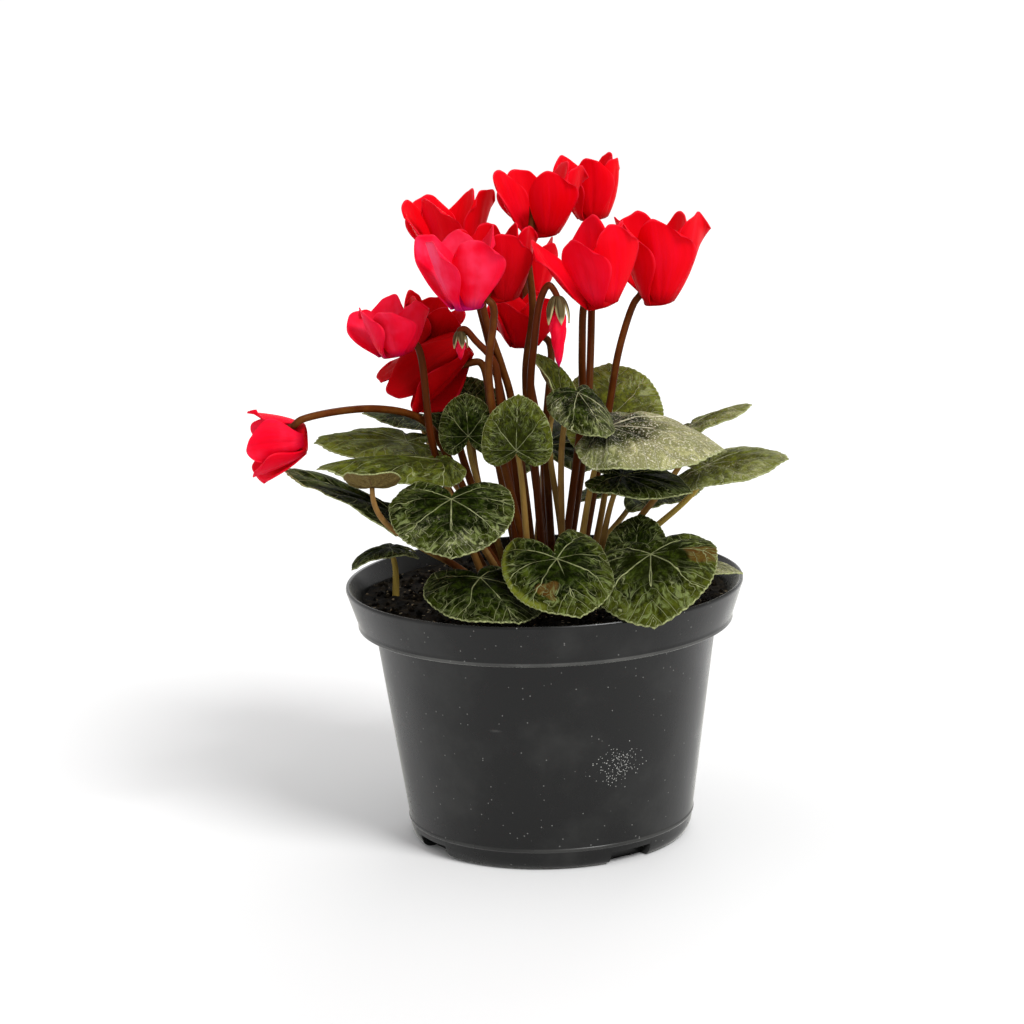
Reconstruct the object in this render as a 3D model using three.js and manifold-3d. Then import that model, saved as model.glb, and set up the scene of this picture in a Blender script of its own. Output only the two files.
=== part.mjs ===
// Potted cyclamen: a low nursery pot with its soil, the tuber with the leaf stalks that
// grow from it, and one piece for each leaf blade, flower stem, bloom and bud.
// Millimetres, +Z up. The origin is the centre of the pot's foot and the front is -Y.

import * as THREE from 'three';
import { mergeVertices } from 'three/addons/utils/BufferGeometryUtils.js';
import Module from 'manifold-3d';

const wasm = await Module();
wasm.setup();

// Pot: outer radii and heights of the tapered wall, the stepped band and the rim
const POT_HEIGHT = 85;
const RIM_RADIUS = 65;
const BAND_RADIUS = 61;
const BAND_HEIGHT = 71;
const NECK_RADIUS = 55.8;
const FOOT_RADIUS = 46.4;
const FOOT_EDGE = 3;
const WALL = 1.5;
const FLOOR = 2.2;
const POT_SIDES = 36;
const NOTCH_WIDTH = 15;
const NOTCH_HEIGHT = 4.4;
const NOTCH_TURN = 33;
const NOTCH_COUNT = 4;

// Soil: its level under the rim, the space to the wall and the size of its lumps
const SOIL_LEVEL = 79.6;
const SOIL_GAP = 0.4;
const SOIL_EDGE = 59.8;
const LUMP = 0.9;
const HOLE_DEPTH = 5;
const HOLE_RADIUS = 2.6;
const SOIL_SIDES = 20;
const SOIL_RINGS = 4;

// Tuber: a flattened ball that shows its top above the soil
const TUBER_AT = [0, 0, 75];
const TUBER_SIZE = [27, 25, 9.4];
const TUBER_CLEARANCE = 0.4;

// Stalks, stems and the space left where one piece meets another
const STALK_FOOT_RADIUS = 1.25;
const STALK_TOP_RADIUS = 0.8;
const STEM_FOOT_RADIUS = 1.35;
const STEM_TOP_RADIUS = 0.95;
const STEM_STEPS = 10;
const JOINT_GAP = 0.3;
const SOCKET_DEPTH = 3;
const SOCKET_GAP = 0.5;

// Blades, petals and buds
const BLADE_THICKNESS = 0.7;
const TOOTH = 0.028;
const PETAL_THICKNESS = 0.8;
const MOUTH_RADIUS = 4.4;
const TUBE_HEIGHT = 6.6;
const PETAL_TURNS = [56, 118, 180, 242, 304];
const PETAL_ROWS = [0, 0.34, 0.7, 0.9, 1];
const SLIVER = 0.08;

const degrees = THREE.MathUtils.degToRad;

// A repeatable random number from 0 to 1 for a whole number
function chance(index) {
  const wave = Math.sin(index * 12.9898 + 4.1414) * 43758.5453;
  return wave - Math.floor(wave);
}

function material(color, roughness) {
  return new THREE.MeshStandardMaterial({ color, roughness, metalness: 0 });
}

const blackPlastic = material(0x36383b, 0.42);
const darkSoil = material(0x1d1511, 0.95);
const brownStalk = material(0x6b3a26, 0.6);
const greenBlade = material(0x2f4a26, 0.5);
const redPetal = material(0xd3102a, 0.5);
const pinkBud = material(0xc2254a, 0.5);

// A closed solid from points and triangles
function solidFrom(points, faces) {
  return new wasm.Manifold(new wasm.Mesh({
    numProp: 3,
    vertProperties: new Float32Array(points.flat()),
    triVerts: new Uint32Array(faces.flat()),
  }));
}

// A closed solid from a three.js geometry, with its shared vertices merged
function solidOf(geometry) {
  const bare = geometry.clone();
  bare.deleteAttribute('normal');
  bare.deleteAttribute('uv');
  const merged = mergeVertices(bare, 1e-4);
  return new wasm.Manifold(new wasm.Mesh({
    numProp: 3,
    vertProperties: new Float32Array(merged.attributes.position.array),
    triVerts: new Uint32Array(merged.index.array),
  }));
}

function geometryOf(solid) {
  const mesh = solid.getMesh();
  const geometry = new THREE.BufferGeometry();
  geometry.setAttribute('position', new THREE.BufferAttribute(new Float32Array(mesh.vertProperties), 3));
  geometry.setIndex(new THREE.BufferAttribute(new Uint32Array(mesh.triVerts), 1));
  geometry.computeVertexNormals();
  return geometry;
}

// A turned solid about +Z from [radius, height] pairs, listed from the axis up the outside
function turned(profile, sides) {
  const outline = profile.map(([radius, height]) => new THREE.Vector2(radius, height));
  const geometry = new THREE.LatheGeometry(outline, sides);
  geometry.rotateX(Math.PI / 2);
  return geometry;
}

// Faces of a closed tube of rings with equal sides, with a flat cap at each end
function ringFaces(rings, sides) {
  const faces = [];
  for (let ring = 0; ring < rings - 1; ring += 1) {
    for (let side = 0; side < sides; side += 1) {
      const a = ring * sides + side;
      const b = ring * sides + ((side + 1) % sides);
      faces.push([a, b, b + sides], [a, b + sides, a + sides]);
    }
  }
  const last = (rings - 1) * sides;
  for (let side = 1; side < sides - 1; side += 1) {
    faces.push([0, side + 1, side], [last, last + side, last + side + 1]);
  }
  return faces;
}

// A round stalk along a curve, thinning from foot to top. Each ring's first side is carried
// on from the ring before it, so that the stalk doesn't twist.
function stalkSolid(curve, footRadius, topRadius, sides, steps) {
  const points = [];
  let side = new THREE.Vector3(0.3, 0.95, 0);
  for (let step = 0; step <= steps; step += 1) {
    const share = step / steps;
    const centre = curve.getPoint(share);
    const ahead = curve.getTangent(share);
    side.addScaledVector(ahead, -side.dot(ahead)).normalize();
    const across = new THREE.Vector3().crossVectors(ahead, side);
    const radius = THREE.MathUtils.lerp(footRadius, topRadius, share);
    for (let index = 0; index < sides; index += 1) {
      const angle = (index / sides) * 2 * Math.PI;
      const point = centre.clone().addScaledVector(side, Math.cos(angle) * radius);
      points.push(point.addScaledVector(across, Math.sin(angle) * radius).toArray());
    }
  }
  return solidFrom(points, ringFaces(steps + 1, sides));
}

// Pot: turned wall and floor, with a drain notch cut through the foot four times
function makePot() {
  const profile = [
    [0, 0], [FOOT_RADIUS - 3, 0], [FOOT_RADIUS - 1, 0.9], [FOOT_RADIUS, FOOT_EDGE],
    [NECK_RADIUS, BAND_HEIGHT - 0.6], [BAND_RADIUS - 0.6, BAND_HEIGHT], [BAND_RADIUS, BAND_HEIGHT + 0.9],
    [RIM_RADIUS, POT_HEIGHT - 0.8], [RIM_RADIUS - 0.4, POT_HEIGHT], [RIM_RADIUS - 1.2, POT_HEIGHT - 0.2],
    [BAND_RADIUS - WALL, BAND_HEIGHT + 1.7], [NECK_RADIUS - WALL, BAND_HEIGHT + 0.8],
    [FOOT_RADIUS - WALL - 0.6, FLOOR + 1.6], [FOOT_RADIUS - WALL - 2, FLOOR], [0, FLOOR],
  ];
  let pot = solidOf(turned(profile, POT_SIDES));
  for (let index = 0; index < NOTCH_COUNT; index += 1) {
    const notch = new THREE.BoxGeometry(12, NOTCH_WIDTH, NOTCH_HEIGHT + 1);
    notch.translate(FOOT_RADIUS, 0, (NOTCH_HEIGHT - 1) / 2);
    notch.rotateZ(degrees(NOTCH_TURN - 90 + index * 360 / NOTCH_COUNT));
    pot = pot.subtract(solidOf(notch));
  }
  return geometryOf(pot);
}

// A plain hole, open at the top, for the foot of a stem or stalk
function socketSolid(foot, floor, radius) {
  const hole = new THREE.CylinderGeometry(radius, radius, 10, 6);
  hole.rotateX(Math.PI / 2);
  hole.translate(...foot, floor + 5);
  return solidOf(hole);
}

function tuberSolid(grow) {
  const ball = new THREE.SphereGeometry(1, 14, 7);
  ball.rotateX(Math.PI / 2);
  ball.scale(...TUBER_SIZE.map((size) => size + grow));
  ball.translate(...TUBER_AT);
  return solidOf(ball);
}

// Soil: fills the pot to its level, with a lumpy top and a hollow for the tuber
function makeSoil() {
  const wallRings = [
    [FOOT_RADIUS - WALL - 3, FLOOR + SOIL_GAP],
    [NECK_RADIUS - WALL - 0.8, BAND_HEIGHT + 1],
    [BAND_RADIUS - WALL - 1, BAND_HEIGHT + 2.6],
  ];
  const topRings = [];
  for (let ring = SOIL_RINGS; ring > 0; ring -= 1) {
    topRings.push([(ring / SOIL_RINGS) * SOIL_EDGE, SOIL_LEVEL]);
  }
  const rings = [...wallRings, ...topRings];
  const points = [[0, 0, FLOOR + SOIL_GAP]];
  rings.forEach(([radius, height], ring) => {
    for (let side = 0; side < SOIL_SIDES; side += 1) {
      const angle = ((side + (ring % 2) / 2) / SOIL_SIDES) * 2 * Math.PI;
      const lump = ring < wallRings.length ? 0 : (chance(ring * 100 + side) * 2 - 1) * LUMP;
      points.push([Math.cos(angle) * radius, Math.sin(angle) * radius, height + lump]);
    }
  });
  points.push([0, 0, SOIL_LEVEL]);
  const last = points.length - 1;
  const first = last - SOIL_SIDES;
  const faces = [];
  for (let side = 0; side < SOIL_SIDES; side += 1) {
    const next = (side + 1) % SOIL_SIDES;
    faces.push([0, 1 + next, 1 + side], [first + side, first + next, last]);
    for (let ring = 0; ring < rings.length - 1; ring += 1) {
      const low = 1 + ring * SOIL_SIDES;
      const high = low + SOIL_SIDES;
      if (ring % 2 === 0) {
        faces.push([low + side, low + next, high + side], [low + next, high + next, high + side]);
      } else {
        faces.push([low + side, low + next, high + next], [low + side, high + next, high + side]);
      }
    }
  }
  let soil = solidFrom(points, faces).subtract(tuberSolid(TUBER_CLEARANCE));
  for (const leaf of leaves.filter(({ inSoil }) => inSoil)) {
    soil = soil.subtract(socketSolid(leaf.foot, SOIL_LEVEL - HOLE_DEPTH, HOLE_RADIUS));
  }
  return geometryOf(soil);
}

// How far a blade reaches from its stalk at an angle from the tip: a soft point at the tip,
// a round body and two full lobes beside the notch where the stalk meets the blade
function bladeReach(angle) {
  const turn = Math.abs(angle);
  const body = 0.72 + 0.22 * Math.exp(-(turn ** 2)) + 0.06 * Math.exp(-turn / 0.15);
  const lobe = 0.18 * Math.exp(-(((turn - 2.6) / 0.5) ** 2));
  const notch = THREE.MathUtils.clamp((turn - 2.7) / (Math.PI - 2.7), 0, 1);
  return (body + lobe) * (1 - 0.88 * notch);
}

// Bends a distance along a sheet, and a height off it, round an arc of the given curvature
function bend(along, off, curvature) {
  if (Math.abs(curvature) < 1e-6) return [along, off];
  const radius = 1 / curvature;
  const turn = along * curvature;
  return [Math.sin(turn) * (radius - off), radius - Math.cos(turn) * (radius - off)];
}

// A blade's point in its own frame: x to the right, y to the tip, z out of the upper face
function bladePoint(leaf, share, angle, reach, off) {
  const across = share * reach * Math.sin(angle) * leaf.length * leaf.width;
  const ahead = share * reach * Math.cos(angle) * leaf.length;
  const along = ahead < 0 ? ahead * leaf.lobes : ahead;
  const ripple = leaf.ripple * leaf.length * share ** 2 * Math.sin(leaf.waves * angle + leaf.phase);
  const [x, lift] = bend(across, ripple + off, degrees(leaf.across) / (0.75 * leaf.length * leaf.width));
  const [y, z] = bend(along, lift, degrees(leaf.along) / leaf.length);
  return [x, y, z];
}

// A blade: rings of points from the stalk out to the toothed edge, alike on both faces
function makeBlade(leaf) {
  const outer = leaf.teeth * 2;
  const rings = [[outer / 4, 0.4], [outer / 2, 0.75], [outer, 1]];
  const points = [];
  const starts = [];
  for (const off of [BLADE_THICKNESS / 2, -BLADE_THICKNESS / 2]) {
    points.push(bladePoint(leaf, 0, 0, 1, off));
    for (const [count, share] of rings) {
      starts.push(points.length);
      for (let index = 0; index < count; index += 1) {
        const angle = (index / count) * 2 * Math.PI - (index > count / 2 ? 2 * Math.PI : 0);
        const tooth = share < 1 ? 0 : TOOTH * (index % 2 === 0 ? 1 : -1);
        points.push(bladePoint(leaf, share, angle, bladeReach(angle) * (1 + tooth), off));
      }
    }
  }
  const faces = [];
  const below = points.length / 2;
  const add = (a, b, c) => faces.push([a, c, b], [a + below, b + below, c + below]);
  const inner = rings[0][0];
  for (let index = 0; index < inner; index += 1) add(0, 1 + index, 1 + ((index + 1) % inner));
  for (let ring = 0; ring < rings.length - 1; ring += 1) {
    const count = rings[ring][0];
    const low = starts[ring];
    const high = starts[ring + 1];
    for (let index = 0; index < count; index += 1) {
      const next = (index + 1) % count;
      const left = high + 2 * index;
      const right = high + ((2 * index + 2) % (2 * count));
      add(low + index, left, left + 1);
      add(low + index, left + 1, low + next);
      add(low + next, left + 1, right);
    }
  }
  const edge = starts[rings.length - 1];
  for (let index = 0; index < outer; index += 1) {
    const a = edge + index;
    const b = edge + ((index + 1) % outer);
    faces.push([a, b, b + below], [a, b + below, a + below]);
  }
  return geometryOf(solidFrom(points, faces));
}

// A leaf's frame: heading turns from +X to +Y, rise lifts the tip, roll lowers the right side
function leafBasis(leaf) {
  const heading = degrees(leaf.heading);
  const rise = degrees(leaf.rise - leaf.along / 2);
  const roll = degrees(leaf.roll);
  const ahead = new THREE.Vector3(
    Math.cos(rise) * Math.cos(heading), Math.cos(rise) * Math.sin(heading), Math.sin(rise),
  );
  const flatRight = new THREE.Vector3(Math.sin(heading), -Math.cos(heading), 0);
  const flatUp = new THREE.Vector3().crossVectors(flatRight, ahead);
  const right = flatRight.clone().multiplyScalar(Math.cos(roll)).addScaledVector(flatUp, -Math.sin(roll));
  const up = flatUp.clone().multiplyScalar(Math.cos(roll)).addScaledVector(flatRight, Math.sin(roll));
  return { right, ahead, up };
}

// Each leaf: where its stalk meets the blade, which way the blade points, its length from
// there to the tip, how it curls along and across, and where its stalk leaves the tuber
const leafDefaults = {
  width: 0.95, lobes: 0.8, roll: 0, along: -14, across: -10, ripple: 0.02, waves: 5, teeth: 12,
  lean: 0.5, climb: 0.4, outward: 0.4, inSoil: false,
};
const leaves = [
  { name: 'leaf_small_upright', joint: [-7.5, -32, 134], heading: 80, rise: 68, length: 18, width: 0.86,
    lobes: 0.35, foot: [-4, -16.5] },
  { name: 'leaf_front_left', joint: [-28, -44, 121.5], heading: -91, rise: -40, length: 23, width: 1.16, across: -16,
    lobes: 0.5, foot: [-11, -15], teeth: 14 },
  { name: 'leaf_rim_left', joint: [-20, -39, 95], heading: -62, rise: -21, length: 27, width: 0.98, across: -30,
    lobes: 0.5, foot: [-15, -12], climb: 0.1, lean: 1.4 },
  { name: 'leaf_rim_centre', joint: [4.2, -46.5, 102], heading: -71, rise: -36, roll: 6, length: 24, width: 1,
    across: -28, foot: [1, -17], climb: 0.25, lean: 1, teeth: 16 },
  { name: 'leaf_rim_right', joint: [33.6, -40.3, 101.2], heading: -94, rise: -34, roll: 9, length: 31,
    width: 0.91, lobes: 0.6, along: -30, across: -20, foot: [10, -15.5], climb: 0.25, lean: 1, teeth: 16 },
  { name: 'leaf_between', joint: [29, -25, 97], heading: 75, rise: 52, length: 15, lobes: 0.3, foot: [17, -11] },
  { name: 'leaf_far_rim_right', joint: [48, -20, 94], heading: 22, rise: -18, length: 18, foot: [19, -5] },
  { name: 'leaf_large_right', joint: [22, -17, 138], heading: -3, rise: -14, roll: 10, length: 38, along: -30,
    width: 0.9, across: -24, lobes: 0.35, foot: [9, -13], teeth: 14 },
  { name: 'leaf_back_right', joint: [24.5, 28, 133.5], heading: 92, rise: 46, length: 21, width: 1.1, foot: [14, 8] },
  { name: 'leaf_back_right_low', joint: [50, 17, 131], heading: -8, rise: 18, length: 21, lobes: 0.5, foot: [18, 6] },
  { name: 'leaf_right', joint: [54, 0, 121], heading: -18, rise: 5, roll: 8, length: 27, lobes: 0.5, foot: [19.5, 0] },
  { name: 'leaf_hooded', joint: [12.5, -22.5, 150], heading: -58, rise: -38, length: 20, width: 0.8, across: -60,
    lobes: 0.3, foot: [5, -10] },
  { name: 'leaf_under_large', joint: [26, -18, 122], heading: -10, rise: -13, roll: 10, length: 23, width: 0.8,
    lobes: 0.6, foot: [15, -8] },
  { name: 'leaf_left_upper', joint: [-44, 20, 128], heading: 195, rise: 3, roll: -8, length: 31, width: 0.75,
    lobes: 0.5, foot: [-17, 8] },
  { name: 'leaf_left_long', joint: [-33, -19, 129.5], heading: 197, rise: 0, length: 39, width: 0.53, across: -50,
    lobes: 0.25, foot: [-17, -8], teeth: 14 },
  { name: 'leaf_left_turned', joint: [-52.5, -43, 126], heading: -95, rise: 34, length: 11, width: 1.15, across: 34,
    lobes: 0.15, foot: [-18.5, -9], outward: 0.5 },
  { name: 'leaf_left_hanging', joint: [-45, -12, 109], heading: 180, rise: 25, length: 41, width: 0.52, lobes: 0.2,
    foot: [-19, -4] },
  { name: 'leaf_back_left', joint: [-22, 23, 131], heading: 100, rise: 52, length: 20, lobes: 0.5, foot: [-13, 13] },
  { name: 'leaf_left_rim', joint: [-50, 0, 96.5], heading: 190, rise: -25, length: 15, width: 0.75, along: -50,
    foot: [-49, 3], outward: 0, inSoil: true },
  { name: 'leaf_centre_left', joint: [-23, -6, 134], heading: 95, rise: 60, length: 15, width: 0.85, lobes: 0.5,
    foot: [-11, 1.5] },
  { name: 'leaf_young', joint: [7, 3.5, 142.5], heading: 145, rise: 59, length: 18, width: 0.54, across: 65,
    lobes: 0.3, foot: [6, 5] },
  { name: 'leaf_low_dark', joint: [-6, -26, 101.5], heading: -60, rise: -45, length: 10, width: 0.7, lobes: 0.2,
    foot: [-7, -15], climb: 0.3 },
  { name: 'leaf_low_front', joint: [12.5, -37, 88.5], heading: -95, rise: -6, length: 17, lobes: 0.3, foot: [6, -17],
    climb: 0.1, lean: 1.4 },
  { name: 'leaf_far_left', joint: [-40, 44, 131], heading: 178, rise: 8, length: 20, foot: [-12, 14] },
  { name: 'leaf_behind', joint: [1, 38, 122], heading: 95, rise: 8, length: 30, width: 0.88, foot: [-2, 17] },
  { name: 'leaf_behind_low', joint: [32, 38, 106], heading: 50, rise: -4, length: 28, foot: [13, 13] },
].map((leaf, index) => ({ ...leafDefaults, phase: chance(index) * 2 * Math.PI, ...leaf }));

// Where a stalk ends under its blade, and the direction it arrives in
function stalkTop(leaf) {
  const { ahead, up } = leafBasis(leaf);
  const arrival = up.clone().addScaledVector(ahead, leaf.lean).normalize();
  const slant = Math.sqrt(Math.max(0, 1 - arrival.dot(up) ** 2));
  const drop = BLADE_THICKNESS / 2 + JOINT_GAP + STALK_TOP_RADIUS * slant;
  const end = new THREE.Vector3(...leaf.joint).addScaledVector(up, -drop);
  return { end, arrival };
}

function tuberTop(x, y) {
  const across = ((x - TUBER_AT[0]) / TUBER_SIZE[0]) ** 2 + ((y - TUBER_AT[1]) / TUBER_SIZE[1]) ** 2;
  return TUBER_AT[2] + TUBER_SIZE[2] * Math.sqrt(Math.max(0, 1 - across));
}

// A leaf stalk: leaves the tuber upwards and arcs out to the underside of its blade. One
// stalk stands in the soil beside the tuber instead.
function leafStalk(leaf) {
  const { end, arrival } = stalkTop(leaf);
  const base = leaf.inSoil ? SOIL_LEVEL - HOLE_DEPTH + JOINT_GAP : tuberTop(...leaf.foot) - 1.5;
  const foot = new THREE.Vector3(...leaf.foot, base);
  const span = foot.distanceTo(end);
  const leave = new THREE.Vector3(leaf.foot[0] * leaf.outward, leaf.foot[1] * leaf.outward, 20);
  leave.setLength(span * leaf.climb).add(foot);
  const arrive = end.clone().addScaledVector(arrival, -span * 0.28);
  const curve = new THREE.CubicBezierCurve3(foot, leave, arrive, end);
  return stalkSolid(curve, STALK_FOOT_RADIUS, STALK_TOP_RADIUS, 5, 5);
}

// Each bloom: its mouth, how far and which way its petals lean, the length of its petals,
// the turn of the gap where its stem enters, where the stem leaves the tuber and the points
// that it passes
const bloomDefaults = { lean: 4, toward: 180, petal: 26, open: 0.25, width: 8, twist: 0.45, enter: -90 };
const blooms = [
  { name: 'a', at: [-45, -10, 162], lean: 10, petal: 18, width: 7, enter: 30, foot: [-12, -8],
    via: [[-31, -2.8, 118], [-35, -3.4, 133]] },
  { name: 'b', at: [-26, 26, 186], petal: 24, enter: -60, foot: [-6, 8], via: [[-10, 16, 130]] },
  { name: 'c', at: [-21, -22, 178], petal: 26, enter: -20, foot: [-4, -8],
    via: [[-14, -19, 140], [-15.5, -21, 158]] },
  { name: 'd', at: [-11, 0, 177], petal: 25, width: 7, open: 0.16, enter: 225, foot: [-3, 0],
    via: [[-9, -2, 146], [-11.5, -3, 156]] },
  { name: 'e', at: [-3, 46, 171], petal: 19, width: 7.3, twist: 0.3, enter: -90, foot: [0, 14], via: [[1, 28, 120], [-3, 39, 147]] },
  { name: 'f', at: [3, 19, 195], petal: 24, enter: -130, foot: [1, 4], via: [[-4, 10, 150], [-1, 9.5, 172]] },
  { name: 'g', at: [19.8, 40.5, 197.5], petal: 22, open: 0.17, width: 7.3, twist: 0.2, enter: 90, foot: [8, 12], via: [[16, 21, 135]] },
  { name: 'h', at: [21, -6, 175], lean: 14, petal: 28, open: 0.28, enter: 135, foot: [6, -4],
    via: [[14, 11, 138], [14.5, 4, 158]] },
  { name: 'i', at: [39.8, 16.3, 172], petal: 31, open: 0.23, width: 10, twist: 0.4, enter: 160, foot: [12, 0],
    via: [[23, 15, 138], [27, 15, 158]] },
  { name: 'j', at: [-74, -25, 138.5], lean: 92, toward: 178, petal: 19, width: 7.3, twist: 0.2, enter: 325, foot: [-14, -1],
    via: [[-30, 1, 126], [-37, 0, 138], [-52, -12, 145]] },
  { name: 'k', at: [-23.5, 9, 161.5], lean: 130, toward: 182, petal: 30, width: 6.5, open: 0.08, enter: 180,
    foot: [-8, 3], via: [[-15, 8, 130]] },
  { name: 'l', at: [-38, 25, 156], lean: 20, toward: 0, petal: 20, width: 7.3, twist: 0.2, enter: -20, foot: [-14, 6],
    via: [[-27, 11, 130]] },
  { name: 'm', at: [-4, 25, 158], lean: 2, petal: 18, width: 7, twist: 0.35, enter: 0, foot: [3, 9], via: [[2, 13, 130]] },
].map((bloom, index) => ({ ...bloomDefaults, seed: 20 * index, ...bloom }));

// Each bud: the top of its hanging cone, the cone's length and width, and its stem's route
const buds = [
  { name: 'long', at: [6.8, -16, 176], length: 19, radius: 2.7, foot: [0, -4],
    via: [[-2.5, -6, 148], [-0.9, -10, 164], [1.7, -14, 179], [4.4, -16, 183.5]] },
  { name: 'small', at: [-24.5, -7, 166], length: 7, radius: 1.7, foot: [-8, -4],
    via: [[-12.4, -6, 146], [-14, -6, 158], [-19.5, -6.5, 165], [-23, -7, 169]] },
];

function bloomFrame(bloom) {
  const toward = degrees(bloom.toward);
  const axis = new THREE.Vector3(-Math.sin(toward), Math.cos(toward), 0);
  const turn = new THREE.Quaternion().setFromAxisAngle(axis, degrees(bloom.lean));
  return new THREE.Matrix4().compose(new THREE.Vector3(...bloom.at), turn, new THREE.Vector3(1, 1, 1));
}

// A petal's point: across from -1 to 1, along from 0 at the mouth to 1 at the tip. It widens
// to a round top, and one side lies outside the other, as the petals of a screw overlap. Its
// length, its spread and its skew to one side differ from petal to petal.
function petalPoint(bloom, petal, across, along, off) {
  const seed = bloom.seed + petal;
  const length = bloom.petal * (1 - 0.12 * chance(seed));
  const spread = bloom.open * (0.75 + 0.5 * chance(seed + 5));
  const skew = 0.26 * (chance(seed + 10) - 0.5) * along ** 2;
  const widen = Math.sin((Math.PI / 2) * Math.min(1, (along / 0.72) ** 1.3));
  const round = 0.36 * (Math.max(0, along - 0.72) / 0.28) ** 2;
  const half = 2.1 * (1 - along) + bloom.width * (widen - round);
  const radius = MOUTH_RADIUS + bloom.petal * (spread * along + 0.1 * (1 - (1 - along) ** 3));
  const out = radius + bloom.twist * across * half + off;
  const angle = degrees(bloom.enter + PETAL_TURNS[petal]) + skew + across * half / radius;
  const height = length * (along - 0.05 * Math.sin(Math.PI * along) - 0.2 * across ** 2 * along ** 3);
  return [Math.cos(angle) * out, Math.sin(angle) * out, height];
}

function petalSolid(bloom, petal) {
  const columns = 2;
  const rows = PETAL_ROWS.length - 1;
  const wide = columns + 1;
  const points = [];
  for (const off of [PETAL_THICKNESS / 2, -PETAL_THICKNESS / 2]) {
    for (const along of PETAL_ROWS) {
      for (let column = 0; column <= columns; column += 1) {
        points.push(petalPoint(bloom, petal, (2 * column) / columns - 1, along, off));
      }
    }
  }
  const faces = [];
  const below = points.length / 2;
  for (let row = 0; row < rows; row += 1) {
    for (let column = 0; column < columns; column += 1) {
      const a = row * wide + column;
      faces.push([a, a + 1, a + wide + 1], [a, a + wide + 1, a + wide]);
      faces.push([a + below, a + wide + 1 + below, a + 1 + below]);
      faces.push([a + below, a + wide + below, a + wide + 1 + below]);
    }
  }
  const rim = [];
  for (let column = 0; column < columns; column += 1) rim.push(column);
  for (let row = 0; row < rows; row += 1) rim.push(row * wide + columns);
  for (let column = columns; column > 0; column -= 1) rim.push(rows * wide + column);
  for (let row = rows; row > 0; row -= 1) rim.push(row * wide);
  rim.forEach((a, index) => {
    const b = rim[(index + 1) % rim.length];
    faces.push([a, a + below, b + below], [a, b + below, b]);
  });
  return solidFrom(points, faces);
}

// A bloom: a short cup with its mouth down and five petals swept up from the mouth
function makeBloom(bloom) {
  const cup = [
    [0, 3.2], [3, 0.4], [MOUTH_RADIUS - 0.4, -0.6], [MOUTH_RADIUS + 0.6, 0.3], [2.6, TUBE_HEIGHT - 0.7],
    [0, TUBE_HEIGHT],
  ];
  let solid = solidOf(turned(cup, 6));
  PETAL_TURNS.forEach((_, petal) => { solid = solid.add(petalSolid(bloom, petal)); });
  return geometryOf(solid.simplify(SLIVER));
}

// The foot of a flower stem, standing in its socket in the tuber
function stemFoot(foot) {
  const floor = tuberTop(...foot) - SOCKET_DEPTH;
  return [new THREE.Vector3(...foot, floor + JOINT_GAP), new THREE.Vector3(...foot, floor + SOCKET_DEPTH + 2)];
}

// A flower stem: rises from the tuber, enters between two petals and hooks over to the cup
function makeStem(bloom) {
  const frame = bloomFrame(bloom);
  const enter = degrees(bloom.enter);
  const inside = (out, height) => new THREE.Vector3(
    Math.cos(enter) * out, Math.sin(enter) * out, height,
  ).applyMatrix4(frame);
  const collar = TUBE_HEIGHT + JOINT_GAP;
  const route = [
    ...stemFoot(bloom.foot), ...bloom.via.map((point) => new THREE.Vector3(...point)),
    inside(8.2, 0.2), inside(5.6, 3.2), inside(4.3, 6.6), inside(3.4, collar + 3.4), inside(1.7, collar + 5),
    inside(0.2, collar + 3.9), inside(0, collar + 1.6),
  ];
  const curve = new THREE.CatmullRomCurve3(route, false, 'centripetal');
  const stem = stalkSolid(curve, STEM_FOOT_RADIUS, STEM_TOP_RADIUS, 5, STEM_STEPS);
  const calyx = turned([[0, collar], [2.6, collar], [2.3, collar + 1.2], [0, collar + 3]], 5);
  calyx.applyMatrix4(frame);
  return geometryOf(stem.add(solidOf(calyx)));
}

// A bud: a five-sided cone of rolled petals that hangs point down and turns as it narrows
function makeBud(bud) {
  const sides = 5;
  const rows = [[0, 0.55], [0.12, 0.95], [0.35, 1], [0.65, 0.66], [0.88, 0.36], [1, 0.1]];
  const points = [];
  rows.forEach(([share, width]) => {
    for (let side = 0; side < sides; side += 1) {
      const angle = (side / sides) * 2 * Math.PI + share * 1.6;
      points.push([
        bud.at[0] + Math.cos(angle) * bud.radius * width,
        bud.at[1] - Math.sin(angle) * bud.radius * width,
        bud.at[2] - share * bud.length,
      ]);
    }
  });
  return geometryOf(solidFrom(points, ringFaces(rows.length, sides)));
}

// A bud's stem, hooked over at the top, with a cap of sepals over the bud
function makeBudStem(bud) {
  const top = new THREE.Vector3(...bud.at);
  const cap = 1.3 * bud.radius;
  const route = [
    ...stemFoot(bud.foot), ...bud.via.map((point) => new THREE.Vector3(...point)),
    top.clone().add(new THREE.Vector3(0, 0, JOINT_GAP + cap)),
    top.clone().add(new THREE.Vector3(0, 0, JOINT_GAP + 0.6)),
  ];
  const curve = new THREE.CatmullRomCurve3(route, false, 'centripetal');
  const stem = stalkSolid(curve, STEM_FOOT_RADIUS, STEM_TOP_RADIUS, 5, STEM_STEPS);
  const sepals = turned([[0, JOINT_GAP], [bud.radius, JOINT_GAP], [bud.radius * 0.9, 1], [0, cap + 0.6]], 5);
  sepals.translate(...bud.at);
  return geometryOf(stem.add(solidOf(sepals)));
}

// Build the plant
const group = new THREE.Group();

function place(name, geometry, look) {
  const mesh = new THREE.Mesh(geometry, look);
  mesh.name = name;
  group.add(mesh);
  return mesh;
}

place('pot', makePot(), blackPlastic);
place('soil', makeSoil(), darkSoil);

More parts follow.
